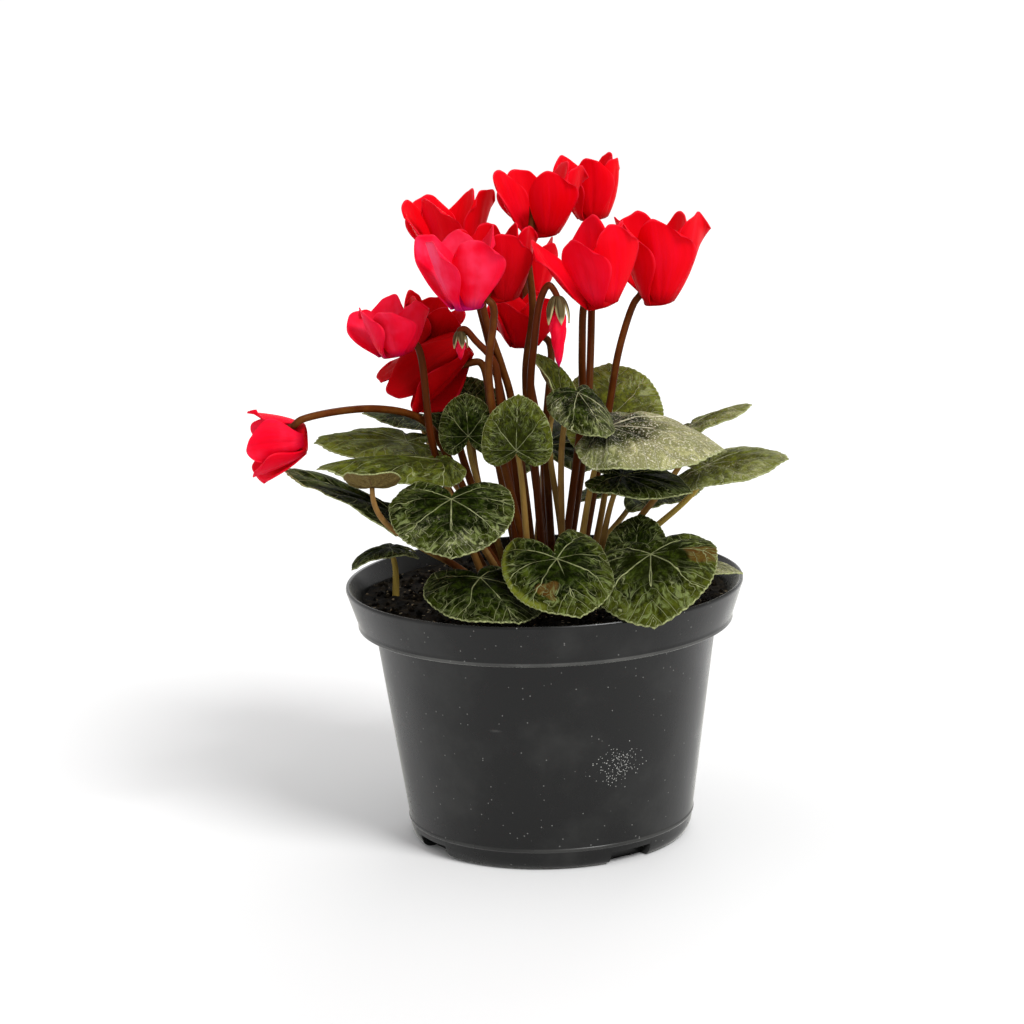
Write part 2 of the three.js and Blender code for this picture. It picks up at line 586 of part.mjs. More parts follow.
let crown = tuberSolid(0);
for (const leaf of leaves.filter(({ inSoil }) => !inSoil)) crown = crown.add(leafStalk(leaf));
for (const { foot } of [...blooms, ...buds]) {
  crown = crown.subtract(socketSolid(foot, tuberTop(...foot) - SOCKET_DEPTH, STEM_FOOT_RADIUS + SOCKET_GAP));
}
place('tuber_with_leaf_stalks', geometryOf(crown), brownStalk);

for (const leaf of leaves) {
  const mesh = place(leaf.name, makeBlade(leaf), greenBlade);
  const { right, ahead, up } = leafBasis(leaf);
  mesh.quaternion.setFromRotationMatrix(new THREE.Matrix4().makeBasis(right, ahead, up));
  mesh.position.set(...leaf.joint);
  if (leaf.inSoil) place(leaf.name.replace('leaf', 'leaf_stalk'), geometryOf(leafStalk(leaf)), brownStalk);
}

for (const bloom of blooms) {
  const mesh = place(`bloom_${bloom.name}`, makeBloom(bloom), redPetal);
  bloomFrame(bloom).decompose(mesh.position, mesh.quaternion, mesh.scale);
  place(`flower_stem_${bloom.name}`, makeStem(bloom), brownStalk);
}

for (const bud of buds) {
  place(`bud_${bud.name}`, makeBud(bud), pinkBud);
  place(`bud_stem_${bud.name}`, makeBudStem(bud), brownStalk);
}

export default group;
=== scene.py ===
import bpy
import bmesh
import math
import numpy as np
from mathutils import Matrix, Vector


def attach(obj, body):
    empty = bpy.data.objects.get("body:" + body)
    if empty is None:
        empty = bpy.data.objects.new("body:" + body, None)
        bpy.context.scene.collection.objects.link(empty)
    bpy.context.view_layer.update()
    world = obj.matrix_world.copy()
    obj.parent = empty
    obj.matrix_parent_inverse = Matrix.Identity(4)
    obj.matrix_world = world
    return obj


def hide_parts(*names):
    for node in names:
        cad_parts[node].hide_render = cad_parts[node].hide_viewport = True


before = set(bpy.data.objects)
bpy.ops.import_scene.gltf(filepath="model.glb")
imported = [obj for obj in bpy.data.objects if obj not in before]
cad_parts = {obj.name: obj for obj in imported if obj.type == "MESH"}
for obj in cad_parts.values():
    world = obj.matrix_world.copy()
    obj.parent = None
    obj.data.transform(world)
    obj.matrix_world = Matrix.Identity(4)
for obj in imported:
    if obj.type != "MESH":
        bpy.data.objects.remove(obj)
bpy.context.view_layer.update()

mm = 0.001
tau = 2 * math.pi


def chance(index):
    # repeatable random numbers from 0 to 1: the fraction of sin(index * 12.9898 + 4.1414) * 43758.5453
    wave = np.sin(np.asarray(index, float) * 12.9898 + 4.1414) * 43758.5453
    return wave - np.floor(wave)


def softNoise(x, y, size, seed=0):
    # value noise: random heights on a square lattice, blended with t * t * (3 - 2t) between its corners
    px, py = x / size + 31.7 * seed, y / size - 17.3 * seed
    ix, iy = np.floor(px), np.floor(py)
    fx, fy = px - ix, py - iy
    fx, fy = fx * fx * (3 - 2 * fx), fy * fy * (3 - 2 * fy)
    corner = lambda a, b: chance((ix + a) * 57.31 + (iy + b) * 131.77 + seed)
    low = corner(0, 0) * (1 - fx) + corner(1, 0) * fx
    high = corner(0, 1) * (1 - fx) + corner(1, 1) * fx
    return low * (1 - fy) + high * fy


def smooth(edge0, edge1, x):
    # 0 below edge0, 1 above edge1, and t * t * (3 - 2t) between them
    t = np.clip((x - edge0) / (edge1 - edge0), 0, 1)
    return t * t * (3 - 2 * t)


def column(count, low=0, high=1):
    # evenly spaced numbers, one to a row
    return np.linspace(low, high, count)[:, None]


def roundTurn(sides):
    # the turns of a full circle in radians, one for each side
    return np.arange(sides) / sides * tau


def polar(radius, turn, height):
    # x = r cos a, y = r sin a and z, spread over one grid
    return np.stack(np.broadcast_arrays(radius * np.cos(turn), radius * np.sin(turn), height), -1)


def gridQuads(rows, columns, wrap=False):
    # the quads of a rows by columns grid of points, joined round at the last column where it wraps
    last = columns if wrap else columns - 1
    r, c = np.meshgrid(np.arange(rows - 1), np.arange(last), indexing="ij")
    d = (c + 1) % columns
    below, above = r * columns, (r + 1) * columns
    return np.stack([below + c, below + d, above + d, above + c], -1).reshape(-1, 4)


def surface(points, wrap=False, **fields):
    # one grid of points with its quads and its named values
    rows, columns = points.shape[:2]
    values = {k: np.broadcast_to(v, (rows, columns)).reshape(-1) for k, v in fields.items()}
    return {"points": points.reshape(-1, 3), "quads": gridQuads(rows, columns, wrap), "fields": values}


def shell(upper, lower, wrap=False, **fields):
    # a closed sheet: its upper grid, its lower grid turned over, and a strip round the open edges.
    # A wrapped sheet has one open edge, at its last row, and its first row is a single point.
    top, bottom = surface(upper, wrap, face=1.0, **fields), surface(lower, wrap, face=0.0, **fields)
    count = len(top["points"])
    index = np.arange(count).reshape(upper.shape[:2])
    if wrap:
        edge = np.append(index[-1], index[-1, 0])
    else:
        edge = np.concatenate([index[0], index[1:, -1], index[-1, -2::-1], index[-2::-1, 0]])
    strip = np.stack([edge[:-1], edge[1:], edge[1:] + count, edge[:-1] + count], -1)
    quads = np.concatenate([top["quads"], bottom["quads"][:, ::-1] + count, strip[:, ::-1]])
    fields = {k: np.concatenate([top["fields"][k], bottom["fields"][k]]) for k in top["fields"]}
    return {"points": np.concatenate([top["points"], bottom["points"]]), "quads": quads, "fields": fields}


def joined(parts):
    # several surfaces as one, with 0 for a value that one of them lacks
    names = sorted({k for part in parts for k in part["fields"]})
    starts = np.cumsum([0] + [len(part["points"]) for part in parts])
    return {
        "points": np.concatenate([part["points"] for part in parts]),
        "quads": np.concatenate([part["quads"] + start for part, start in zip(parts, starts)]),
        "fields": {k: np.concatenate([part["fields"].get(k, np.zeros(len(part["points"]))) for part in parts])
                   for k in names},
    }


def addObject(name, data):
    made = bpy.data.objects.new(name, data)
    bpy.context.scene.collection.objects.link(made)
    return made


def makePiece(name, shape, material, replaced=()):
    # the surface as a mesh in metres, its doubles merged and its faces turned outward
    mesh = bpy.data.meshes.new(name)
    mesh.from_pydata((shape["points"] * mm).tolist(), [], shape["quads"].tolist())
    for key, values in shape["fields"].items():
        layer = mesh.attributes.new(key, "FLOAT", "POINT")
        layer.data.foreach_set("value", np.ascontiguousarray(values, dtype=np.float32))
    work = bmesh.new()
    work.from_mesh(mesh)
    bmesh.ops.remove_doubles(work, verts=work.verts, dist=2e-6)
    bmesh.ops.dissolve_degenerate(work, edges=work.edges, dist=1e-7)
    bmesh.ops.recalc_face_normals(work, faces=work.faces)
    work.to_mesh(mesh)
    work.free()
    mesh.polygons.foreach_set("use_smooth", np.ones(len(mesh.polygons), dtype=bool))
    mesh.materials.append(material)
    piece = addObject(name, mesh)
    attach(piece, "root")
    if replaced:
        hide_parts(*replaced)
    return piece


# Shader helpers
class Wire:
    # one output of a node: each sign between a wire and a wire or number adds a Math node
    def __init__(self, socket):
        self.socket, self.tree = socket, socket.id_data

    def math(self, operation, other=0.0):
        return addNode(self.tree, "ShaderNodeMath", {0: self, 1: other}, operation=operation)

    __add__ = lambda self, other: self.math("ADD", other)
    __sub__ = lambda self, other: self.math("SUBTRACT", other)
    __mul__ = lambda self, other: self.math("MULTIPLY", other)
    __truediv__ = lambda self, other: self.math("DIVIDE", other)
    __abs__ = lambda self: self.math("ABSOLUTE")


def setInputs(node, inputs):
    # links each wire, and sets each number, vector or colour on the socket itself
    for key, value in inputs.items():
        socket = node.inputs[key]
        if isinstance(value, Wire):
            node.id_data.links.new(value.socket, socket)
        else:
            socket.default_value = (*value, 1) if socket.type == "RGBA" else value


def addNode(tree, kind, inputs=None, output=0, **settings):
    made = tree.nodes.new(kind)
    for key, value in settings.items():
        setattr(made, key, value)
    setInputs(made, inputs or {})
    return Wire(made.outputs[output])


def largest(first, *others):
    for other in others:
        first = first.math("MAXIMUM", other)
    return first


def ramp(value, low, high, toLow=0.0, toHigh=1.0):
    inputs = {0: value, 1: low, 2: high, 3: toLow, 4: toHigh}
    return addNode(value.tree, "ShaderNodeMapRange", inputs, interpolation_type="SMOOTHSTEP")


def mixed(share, a, b):
    return addNode(share.tree, "ShaderNodeMix", {"Factor": share, 6: a, 7: b}, 2, data_type="RGBA")


def field(tree, name):
    return addNode(tree, "ShaderNodeAttribute", None, "Fac", attribute_name=name)


def combined(x, y, z):
    return addNode(x.tree, "ShaderNodeCombineXYZ", {0: x, 1: y, 2: z})


def noise(where, scale, detail=3.0, rough=0.5, output="Fac"):
    inputs = {"Vector": where, "Scale": scale, "Detail": detail, "Roughness": rough}
    return addNode(where.tree, "ShaderNodeTexNoise", inputs, output)


def bump(height, strength, distance):
    inputs = {"Height": height, "Strength": strength, "Distance": distance * mm}
    return addNode(height.tree, "ShaderNodeBump", inputs, "Normal")


def newMaterial(name):
    # a material with its tree, its shader and the place on the piece in metres
    made = bpy.data.materials.new(name)
    made.use_nodes = True
    tree = made.node_tree
    tree.nodes.clear()
    shader = tree.nodes.new("ShaderNodeBsdfPrincipled")
    output = tree.nodes.new("ShaderNodeOutputMaterial")
    tree.links.new(shader.outputs[0], output.inputs[0])
    return made, tree, shader, addNode(tree, "ShaderNodeTexCoord", None, "Object")


def newGroup(name, inputs, outputs):
    # a shader group with a default for each input, None where it is a vector
    tree = bpy.data.node_groups.new(name, "ShaderNodeTree")
    for label, value in inputs.items():
        kind = "NodeSocketVector" if value is None else "NodeSocketFloat"
        made = tree.interface.new_socket(label, in_out="INPUT", socket_type=kind)
        if value is not None:
            made.default_value = value
    for label in outputs:
        tree.interface.new_socket(label, in_out="OUTPUT", socket_type="NodeSocketFloat")
    given = tree.nodes.new("NodeGroupInput").outputs
    return tree, {label: Wire(given[label]) for label in inputs}, tree.nodes.new("NodeGroupOutput")


def useGroup(tree, group, **inputs):
    made = tree.nodes.new("ShaderNodeGroup")
    made.node_tree = group
    setInputs(made, inputs)
    return {socket.name: Wire(socket) for socket in made.outputs}


def speckGroup():
    # pale grains: the middles of small cells, kept only where the cell's own random number is low
    inputs = {"Where": None, "Scale": 900.0, "Size": 0.16, "Amount": 0.3}
    tree, given, out = newGroup("dustSpecks", inputs, ["Mask"])
    place = {"Vector": given["Where"], "Scale": given["Scale"]}
    cells = addNode(tree, "ShaderNodeTexVoronoi", place, "Distance")
    pick = addNode(tree, "ShaderNodeSeparateColor", {0: Wire(cells.socket.node.outputs["Color"])})
    chosen = pick.math("LESS_THAN", given["Amount"])
    setInputs(out, {"Mask": cells.math("LESS_THAN", given["Size"]) * chosen})
    return tree


def fibreGroup():
    # long streaks: noise stretched along one named value of the piece
    inputs = {"Across": 0.0, "Along": 0.0, "Seed": 0.0, "Scale": 20.0, "Stretch": 0.1}
    tree, given, out = newGroup("fibreStreaks", inputs, ["Mask"])
    place = combined(given["Across"], given["Along"] * given["Stretch"], given["Seed"])
    setInputs(out, {"Mask": noise(place, given["Scale"], 2.0, 0.6)})
    return tree


dustSpecks = speckGroup()
fibreStreaks = fibreGroup()


def streaks(tree, across, along, scale, stretch):
    # the streaks along one of the piece's values, by the names of the two values
    return useGroup(tree, fibreStreaks, Across=field(tree, across), Along=field(tree, along),
                    Seed=field(tree, "seed"), Scale=scale, Stretch=stretch)["Mask"]


# Camera at the photograph's angle, in metres
camera = {"at": (0.0, -0.973, 0.318), "target": (-0.0098, 0.0, 0.1073), "rollDegrees": -1.9, "lens": 107.54}


def makeCamera():
    # its axes from where it stands, what it looks at and its roll
    at, target = np.array(camera["at"]), np.array(camera["target"])
    ahead = (target - at) / np.linalg.norm(target - at)
    right = np.cross(ahead, (0, 0, 1))
    right /= np.linalg.norm(right)
    up = np.cross(right, ahead)
    roll = math.radians(camera["rollDegrees"])
    x = right * math.cos(roll) + up * math.sin(roll)
    y = up * math.cos(roll) - right * math.sin(roll)
    data = bpy.data.cameras.new("camera")
    data.lens = camera["lens"]
    data.sensor_width = 36
    made = addObject("camera", data)
    made.matrix_world = Matrix([[x[i], y[i], -ahead[i], at[i]] for i in range(3)] + [[0, 0, 0, 1]])
    bpy.context.scene.camera = made


makeCamera()
print("camera ready")

# Pot, in millimetres. A patch and a smear of dust have a place x and z on the front, and pale lines are
# painted as highlights on the band's lip and the foot bead, each from one height to another with its amount.
pot = {
    "height": 85, "rimRadius": 65, "bandRadius": 61, "bandHeight": 71, "neckRadius": 55.8, "footRadius": 46.4,
    "footEdge": 3, "wall": 1.5, "floor": 2.2, "sides": 216, "bevel": 0.25, "notches": 4, "notchWidth": 15,
    "notchHeight": 4.4, "notchTurn": 33, "colour": (0.0026, 0.0027, 0.0024), "dustAndHighlightColour": (0.32, 0.32, 0.3),
    "roughness": 0.26, "patch": (21.5, 34), "smear": (-16.7, 48),
    "highlightLines": ((70.8, 72.2, 0.22), (6.4, 7.4, 0.1)),
}


def roundedProfile(corners, radii, steps=5):
    # each corner of the outline becomes a short quadratic arc that starts and ends its radius away
    corners = np.array(corners, float)
    made = [corners[:1]]
    t = column(steps)
    for before, corner, after, radius in zip(corners, corners[1:], corners[2:], radii):
        back, on = before - corner, after - corner
        start = corner + back * min(0.45, radius / np.linalg.norm(back))
        end = corner + on * min(0.45, radius / np.linalg.norm(on))
        made.append((1 - t) ** 2 * start + 2 * t * (1 - t) * corner + t ** 2 * end)
    return np.concatenate([*made, corners[-1:]])


def potMaterial():
    # nearly black plastic with a patch, single specks and a smear of dust, and painted highlight lines on the
    # band's lip and the foot bead
    made, tree, shader, where = newMaterial("charcoal moulded plastic")
    cloud = noise(where, 38, 5, 0.6)
    x, y, z = (addNode(tree, "ShaderNodeSeparateXYZ", {0: where}, axis) for axis in range(3))
    front = y.math("LESS_THAN", 0.0)

    def awayFrom(place, flatter):
        # how far a point lies from the place on the front, its height counted flatter times
        dx, dz = x - place[0] * mm, (z - place[1] * mm) * flatter
        return (dx * dx + dz * dz).math("SQRT")

    spread = awayFrom(pot["patch"], 1.3) + (cloud - 0.5) * 0.012
    thick = ramp(spread, 0.0, 0.011, 0.85, 0.0) * front
    grains = useGroup(tree, dustSpecks, Where=where, Scale=1700.0, Size=0.32, Amount=thick)["Mask"]
    specks = useGroup(tree, dustSpecks, Where=where, Scale=900.0, Size=0.2, Amount=0.05)["Mask"]
    smear = ramp(awayFrom(pot["smear"], 4.0), 0.0004, 0.0026, 0.09, 0.0) * front
    dust = largest(specks * 0.45, grains, smear, ramp(cloud, 0.45, 0.8) * 0.05)
    fade = 0.3 * mm
    # painted highlight: pale lines along the band's lip and the foot bead stand in for the light that catches
    # them, and go into the dust mask
    for low, high, amount in pot["highlightLines"]:
        low, high = low * mm, high * mm
        highlightLine = ramp(z, low - fade, low) * ramp(z, high, high + fade, 1.0, 0.0)
        dust = largest(dust, highlightLine * ramp(cloud, 0.3, 0.65, 0.4 * amount, amount))
    # the dust mask holds real dust and the painted highlight lines
    setInputs(shader, {
        "Base Color": mixed(dust, pot["colour"], pot["dustAndHighlightColour"]),
        "Roughness": ramp(cloud, 0.3, 0.75, pot["roughness"] - 0.04, pot["roughness"] + 0.1),
        "Normal": bump(noise(where, 900, 2, 0.5), 0.12, 0.15),
        "Specular IOR Level": 0.34, "Sheen Weight": 0.9, "Sheen Roughness": 0.2, "Sheen Tint": (1, 1, 0.92),
    })
    return made


def applyModifiers(piece):
    graph = bpy.context.evaluated_depsgraph_get()
    mesh = bpy.data.meshes.new_from_object(piece.evaluated_get(graph))
    piece.modifiers.clear()
    piece.data = mesh


def notchBlocks():
    # a block for each drain notch, as wide and high as the notch and across the foot's wall
    half = np.array([6, pot["notchWidth"] / 2, (pot["notchHeight"] + 1) / 2])
    square = np.array([[-1, -1], [1, -1], [1, 1], [-1, 1]])
    ring = lambda z, size: np.column_stack([square * half[:2] * size, np.full(4, z * half[2])])
    block = np.stack([ring(-1, 0), ring(-1, 1), ring(1, 1), ring(1, 0)])
    block += [pot["footRadius"], 0, (pot["notchHeight"] - 1) / 2]
    blocks = []
    for index in range(pot["notches"]):
        turn = math.radians(pot["notchTurn"] - 90 + 360 / pot["notches"] * index)
        spin = [[math.cos(turn), math.sin(turn), 0], [-math.sin(turn), math.cos(turn), 0], [0, 0, 1]]
        blocks.append(surface(block @ np.array(spin), wrap=True))
    return joined(blocks)


def makePot():
    # a turned profile with a bead at the foot, a stepped band and a rolled rim, then the notches cut
    foot, neck, band, rim = (pot[key + "Radius"] for key in ("foot", "neck", "band", "rim"))
    step, top, edge, wall, floor = (pot[key] for key in ("bandHeight", "height", "footEdge", "wall", "floor"))
    slope = (neck - foot) / (step - 0.6 - edge)
    rings = ((6.2, 0), (6.6, 0.3), (7.2, 0.3), (7.6, 0), (24, 0), (40, 0), (56, 0))
    corners = [
        [0, 0], [foot - 3, 0], [foot - 1, 0.9], [foot, edge],
        *([foot + (z - edge) * slope + bead, z] for z, bead in rings),
        [neck, step - 0.6], [band - 0.6, step], [band + 0.35, step + 0.5], [band + 0.3, step + 1.2],
        [band + 0.35, step + 2.2], [rim, top - 0.8], [rim - 0.4, top], [rim - 1.2, top - 0.2],
        [band - wall, step + 1.7], [neck - wall, step + 0.8], [foot - wall - 0.6, floor + 1.6],
        [foot - wall - 2, floor], [0, floor],
    ]
    radii = [0.6, 1, 1.2, 0.15, 0.15, 0.15, 0.15, 0.2, 0.2, 0.2, 0.8]
    radii += [0.5, 0.3, 0.3, 0.5, 0.5, 0.3, 0.4, 1, 1, 1.2, 1]
    profile = roundedProfile(corners, radii)
    turned = surface(polar(profile[:, :1], roundTurn(pot["sides"]), profile[:, 1:]), wrap=True)
    look = potMaterial()
    made = makePiece("potBody", turned, look, ["pot"])
    cutter = makePiece("notchCutter", notchBlocks(), look)
    cut = made.modifiers.new("notches", "BOOLEAN")
    cut.operation, cut.object, cut.solver = "DIFFERENCE", cutter, "EXACT"
    applyModifiers(made)
    bpy.data.objects.remove(cutter)
    edges = made.modifiers.new("edges", "BEVEL")
    edges.width, edges.segments, edges.limit_method = pot["bevel"] * mm, 2, "ANGLE"
    edges.angle_limit = math.radians(50)
    applyModifiers(made)


makePot()
print("pot ready")

# Tuber, in millimetres, and the soil round it
tuber = {
    "at": (0, 0, 75), "size": (27, 25, 9.4), "sides": 96, "rows": 40,
    "colour": (0.06, 0.034, 0.018), "crackColour": (0.012, 0.007, 0.004),
}
soil = {
    "level": 79.6, "edge": 59.8, "lump": 1.3, "gap": 0.4, "sides": 240, "rings": 90, "crumbs": 900,
    "crumbSizes": (0.4, 1.5), "colour": (0.0022, 0.0015, 0.0006), "crumbColour": (0.045, 0.032, 0.016),
    "gritColour": (0.4, 0.32, 0.2),
}


def soilHeight(x, y):
    # lumps 6 mm and 2 mm broad round the level, lower toward the wall
    away = np.hypot(x, y) / soil["edge"]
    lumps = (softNoise(x, y, 6, 1) - 0.5) * 1.5 + (softNoise(x, y, 2.2, 2) - 0.5) * 0.9
    return soil["level"] + soil["lump"] * lumps * (1 - 0.6 * smooth(0.85, 1, away))


def soilMaterial():
    # dark soil with paler crumbs and grit
    made, tree, shader, where = newMaterial("dark potting soil")
    cloud = noise(where, 260, 6, 0.7)
    grit = useGroup(tree, dustSpecks, Where=where, Scale=560.0, Size=0.3, Amount=0.2)["Mask"]
    body = mixed(ramp(cloud, 0.4, 0.75), soil["colour"], soil["crumbColour"])
    setInputs(shader, {
        "Base Color": mixed(grit * 0.7, body, soil["gritColour"]), "Roughness": 0.93,
        "Specular IOR Level": 0.1, "Normal": bump(cloud + noise(where, 900, 4, 0.8), 0.9, 1.2),
    })
    return made


def soilShape():
    # the fill of the pot: a flat base, the sides clear of the wall, and rings of the lumpy top
    turn = roundTurn(soil["sides"])
    x, y = (soil["edge"] * column(soil["rings"], 1, 0) * way(turn) for way in (np.cos, np.sin))
    wall, base, step = pot["wall"], pot["floor"] + soil["gap"], pot["bandHeight"]
    side = [[0, base], [pot["footRadius"] - wall - 3, base], [pot["neckRadius"] - wall - 0.8, step + 1],
            [pot["bandRadius"] - wall - 1, step + 2.6]]
    rings = [polar(radius, turn, height) for radius, height in side]
    return surface(np.concatenate([rings, np.stack([x, y, soilHeight(x, y)], -1)]), wrap=True)


def crumbShape(count, smallest, widest, seed):
    # eight-sided crumbs: an octahedron with each corner pushed out by chance, dropped on the soil
    index = np.arange(count)
    away = np.sqrt(0.12 + 0.88 * chance(index + seed)) * (soil["edge"] - 2)
    turn = chance(index * 3 + seed + 7) * tau
    x, y = away * np.cos(turn), away * np.sin(turn)
    size = smallest + (widest - smallest) * chance(index * 5 + seed + 3) ** 2
    corners = np.array([[1, 0, 0], [0, 1, 0], [-1, 0, 0], [0, -1, 0], [0, 0, 0.8], [0, 0, -0.8]])
    push = 0.6 + 0.8 * chance(index[:, None] * 6 + np.arange(6) + seed)
    across, deep, high = np.moveaxis(corners[None] * push[..., None] * size[:, None, None], -1, 0)
    spin = chance(index + seed + 11)[:, None] * tau
    turned = [across * np.cos(spin) - deep * np.sin(spin), across * np.sin(spin) + deep * np.cos(spin)]
    flat = np.stack([*turned, high], -1)
    flat += np.stack([x, y, soilHeight(x, y) + 0.25 * size], -1)[:, None]
    faces = np.array([[0, 1, 4], [1, 2, 4], [2, 3, 4], [3, 0, 4], [1, 0, 5], [2, 1, 5], [3, 2, 5], [0, 3, 5]])
    quads = (faces[None] + 6 * index[:, None, None]).reshape(-1, 3)
    return {"points": flat.reshape(-1, 3), "quads": quads, "fields": {}}


soilLook = soilMaterial()
makePiece("soilBody", soilShape(), soilLook, ["soil"])
makePiece("soilCrumbs", crumbShape(soil["crumbs"], *soil["crumbSizes"], 5), soilLook)
print("soil ready")

# Leaves: as in the frame, the joint of stalk and blade in millimetres, heading and rise in degrees,
# length to the tip and the stalk's foot, then what differs from the defaults: along and across are the
# curl in degrees. silver, yellow, brown (x, y and radius of a patch), margin and tip colour the blade,
# and pale its stalk.
leafDefaults = {
    "width": 0.95, "lobes": 0.8, "roll": 0, "along": -14, "across": -10, "ripple": 0.02, "waves": 5,
    "lean": 0.5, "climb": 0.4, "outward": 0.4, "inSoil": False, "silver": 0.25, "yellow": 0.15,
    "brown": None, "tip": 0.0, "margin": -0.1,
}
leafColumns = ("name", "joint", "heading", "rise", "length", "foot")
leaves = [
    ("small_upright", (-7.5, -32, 134), 80, 68, 18, (-4, -16.5),
     dict(width=0.86, lobes=0.35, silver=0.4, yellow=0.5)),
    ("front_left", (-28, -44, 121.5), -91, -40, 23, (-11, -15),
     dict(width=1.16, across=-16, lobes=0.5, silver=0.15, tip=0.3)),
    ("rim_left", (-20, -39, 95), -62, -21, 27, (-15, -12),
     dict(width=0.98, across=-30, lobes=0.5, climb=0.1, lean=1.4, silver=0.1, yellow=0.05)),
    ("rim_centre", (4.2, -46.5, 102), -71, -36, 24, (1, -17),
     dict(roll=6, width=1, across=-28, climb=0.25, lean=1, silver=0.3, yellow=0.3, margin=0.08,
          brown=(0.28, 0.5, 0.22))),
    ("rim_right", (33.6, -40.3, 101.2), -94, -34, 31, (10, -15.5),
     dict(roll=9, width=0.91, lobes=0.6, along=-30, across=-20, climb=0.25, lean=1, silver=0.35, yellow=0.4,
          brown=(-0.6, 0.0, 0.28))),
    ("between", (29, -25, 97), 75, 52, 15, (17, -11), dict(lobes=0.3)),
    ("far_rim_right", (48, -20, 94), 22, -18, 18, (19, -5), dict(silver=0.8)),
    ("large_right", (22, -17, 138), -3, -14, 38, (9, -13),
     dict(roll=10, along=-30, width=0.9, across=-24, lobes=0.35, silver=0.66, tip=0.35, yellow=0.45)),
    ("back_right", (24.5, 28, 133.5), 92, 46, 21, (14, 8), dict(width=1.1, yellow=1.0, silver=0.5)),
    ("back_right_low", (50, 17, 131), -8, 18, 21, (18, 6), dict(lobes=0.5, yellow=1.0, silver=0.6)),
    ("right", (54, 0, 121), -18, 5, 27, (19.5, 0), dict(roll=8, lobes=0.5, yellow=0.9, silver=0.6, pale=1.0)),
    ("hooded", (12.5, -22.5, 150), -58, -38, 20, (5, -10),
     dict(width=0.8, across=-60, lobes=0.3, silver=0.5)),
    ("under_large", (26, -18, 122), -10, -13, 23, (15, -8), dict(roll=10, width=0.8, lobes=0.6, silver=0.1)),
    ("left_upper", (-44, 20, 128), 195, 3, 31, (-17, 8),
     dict(roll=-8, width=0.75, lobes=0.5, silver=0.3, yellow=0.8)),
    ("left_long", (-33, -19, 129.5), 197, 0, 39, (-17, -8),
     dict(width=0.53, across=-50, lobes=0.25, yellow=0.6, silver=0.2, margin=0.5)),
    ("left_turned", (-52.5, -43, 126), -95, 34, 11, (-18.5, -9),
     dict(width=1.15, across=34, lobes=0.15, outward=0.5, yellow=0.3, pale=0.0)),
    ("left_hanging", (-45, -12, 109), 180, 25, 41, (-19, -4),
     dict(width=0.52, lobes=0.2, silver=0.1, yellow=0.1)),
    ("back_left", (-22, 23, 131), 100, 52, 20, (-13, 13), dict(lobes=0.5)),
    ("left_rim", (-50, 0, 96.5), 190, -25, 15, (-49, 3),
     dict(width=0.75, along=-50, outward=0, inSoil=True, yellow=0.2, pale=0.9)),
    ("centre_left", (-23, -6, 134), 95, 60, 15, (-11, 1.5), dict(width=0.85, lobes=0.5)),
    ("young", (7, 3.5, 142.5), 145, 59, 18, (6, 5), dict(width=0.54, across=65, lobes=0.3, yellow=0.7)),
    ("low_dark", (-6, -26, 101.5), -60, -45, 10, (-7, -15),
     dict(width=0.7, lobes=0.2, climb=0.3, silver=0.0)),
    ("low_front", (12.5, -37, 88.5), -95, -6, 17, (6, -17), dict(lobes=0.3, climb=0.1, lean=1.4)),
    ("far_left", (-40, 44, 131), 178, 8, 20, (-12, 14), {}),
    ("behind", (1, 38, 122), 95, 8, 30, (-2, 17), dict(width=0.88)),
    ("behind_low", (32, 38, 106), 50, -4, 28, (13, 13), {}),
]
leaves = [{**leafDefaults, "seed": i, "phase": float(chance(i)) * tau,
           **dict(zip(leafColumns, row)), **row[-1]} for i, row in enumerate(leaves)]
blade = {
    "thickness": 0.7, "rows": 26, "columns": 240, "teeth": 60, "tooth": 0.014, "quilt": 0.03, "rays": 0.62,
    "stalkGap": 0.3, "roughness": 0.4, "dark": (0.003, 0.0055, 0.0003), "light": (0.026, 0.042, 0.004),
    "olive": (0.07, 0.075, 0.014), "yellowGreen": (0.15, 0.17, 0.016), "silver": (0.21, 0.26, 0.09),
    "frost": (0.4, 0.39, 0.18), "vein": (0.4, 0.43, 0.2), "paleVein": (0.7, 0.68, 0.46),
    "dust": (0.8, 0.76, 0.6), "brownPatch": (0.1, 0.045, 0.01), "under": (0.11, 0.08, 0.025),
    "paleUnder": (0.3, 0.22, 0.08), "darkUnder": (0.07, 0.035, 0.012), "redVein": (0.22, 0.09, 0.05),
}


def bladeReach(angle):
    # reach = (0.72 + 0.22 exp(-t^2) + 0.06 exp(-t / 0.15) + 0.18 exp(-((t - 2.6) / 0.5)^2)) (1 - 0.88 n),
    # where t is the turn from the tip and n goes from 0 at 2.7 radians to 1 at the notch
    turn = np.abs(angle)
    body = 0.72 + 0.22 * np.exp(-turn ** 2) + 0.06 * np.exp(-turn / 0.15)
    lobe = 0.18 * np.exp(-((turn - 2.6) / 0.5) ** 2)
    notch = np.clip((turn - 2.7) / (math.pi - 2.7), 0, 1)
    return (body + lobe) * (1 - 0.88 * notch)


def bend(along, off, curvature):
    # rolls a sheet round an arc: sin(s k) (1/k - off) along it and 1/k - cos(s k) (1/k - off) off it
    radius = 1 / curvature
    return np.sin(along * curvature) * (radius - off), radius - np.cos(along * curvature) * (radius - off)


def leafBasis(leaf):
    # the blade's right, ahead and up at its joint, half of its curl along taken back from the rise
    angles = (leaf["heading"], leaf["rise"] - leaf["along"] / 2, leaf["roll"])
    heading, rise, roll = (math.radians(angle) for angle in angles)
    ahead = np.array([math.cos(rise) * math.cos(heading), math.cos(rise) * math.sin(heading), math.sin(rise)])
    flatRight = np.array([math.sin(heading), -math.cos(heading), 0])
    flatUp = np.cross(flatRight, ahead)
    right = flatRight * math.cos(roll) - flatUp * math.sin(roll)
    up = flatUp * math.cos(roll) + flatRight * math.sin(roll)
    return right, ahead, up


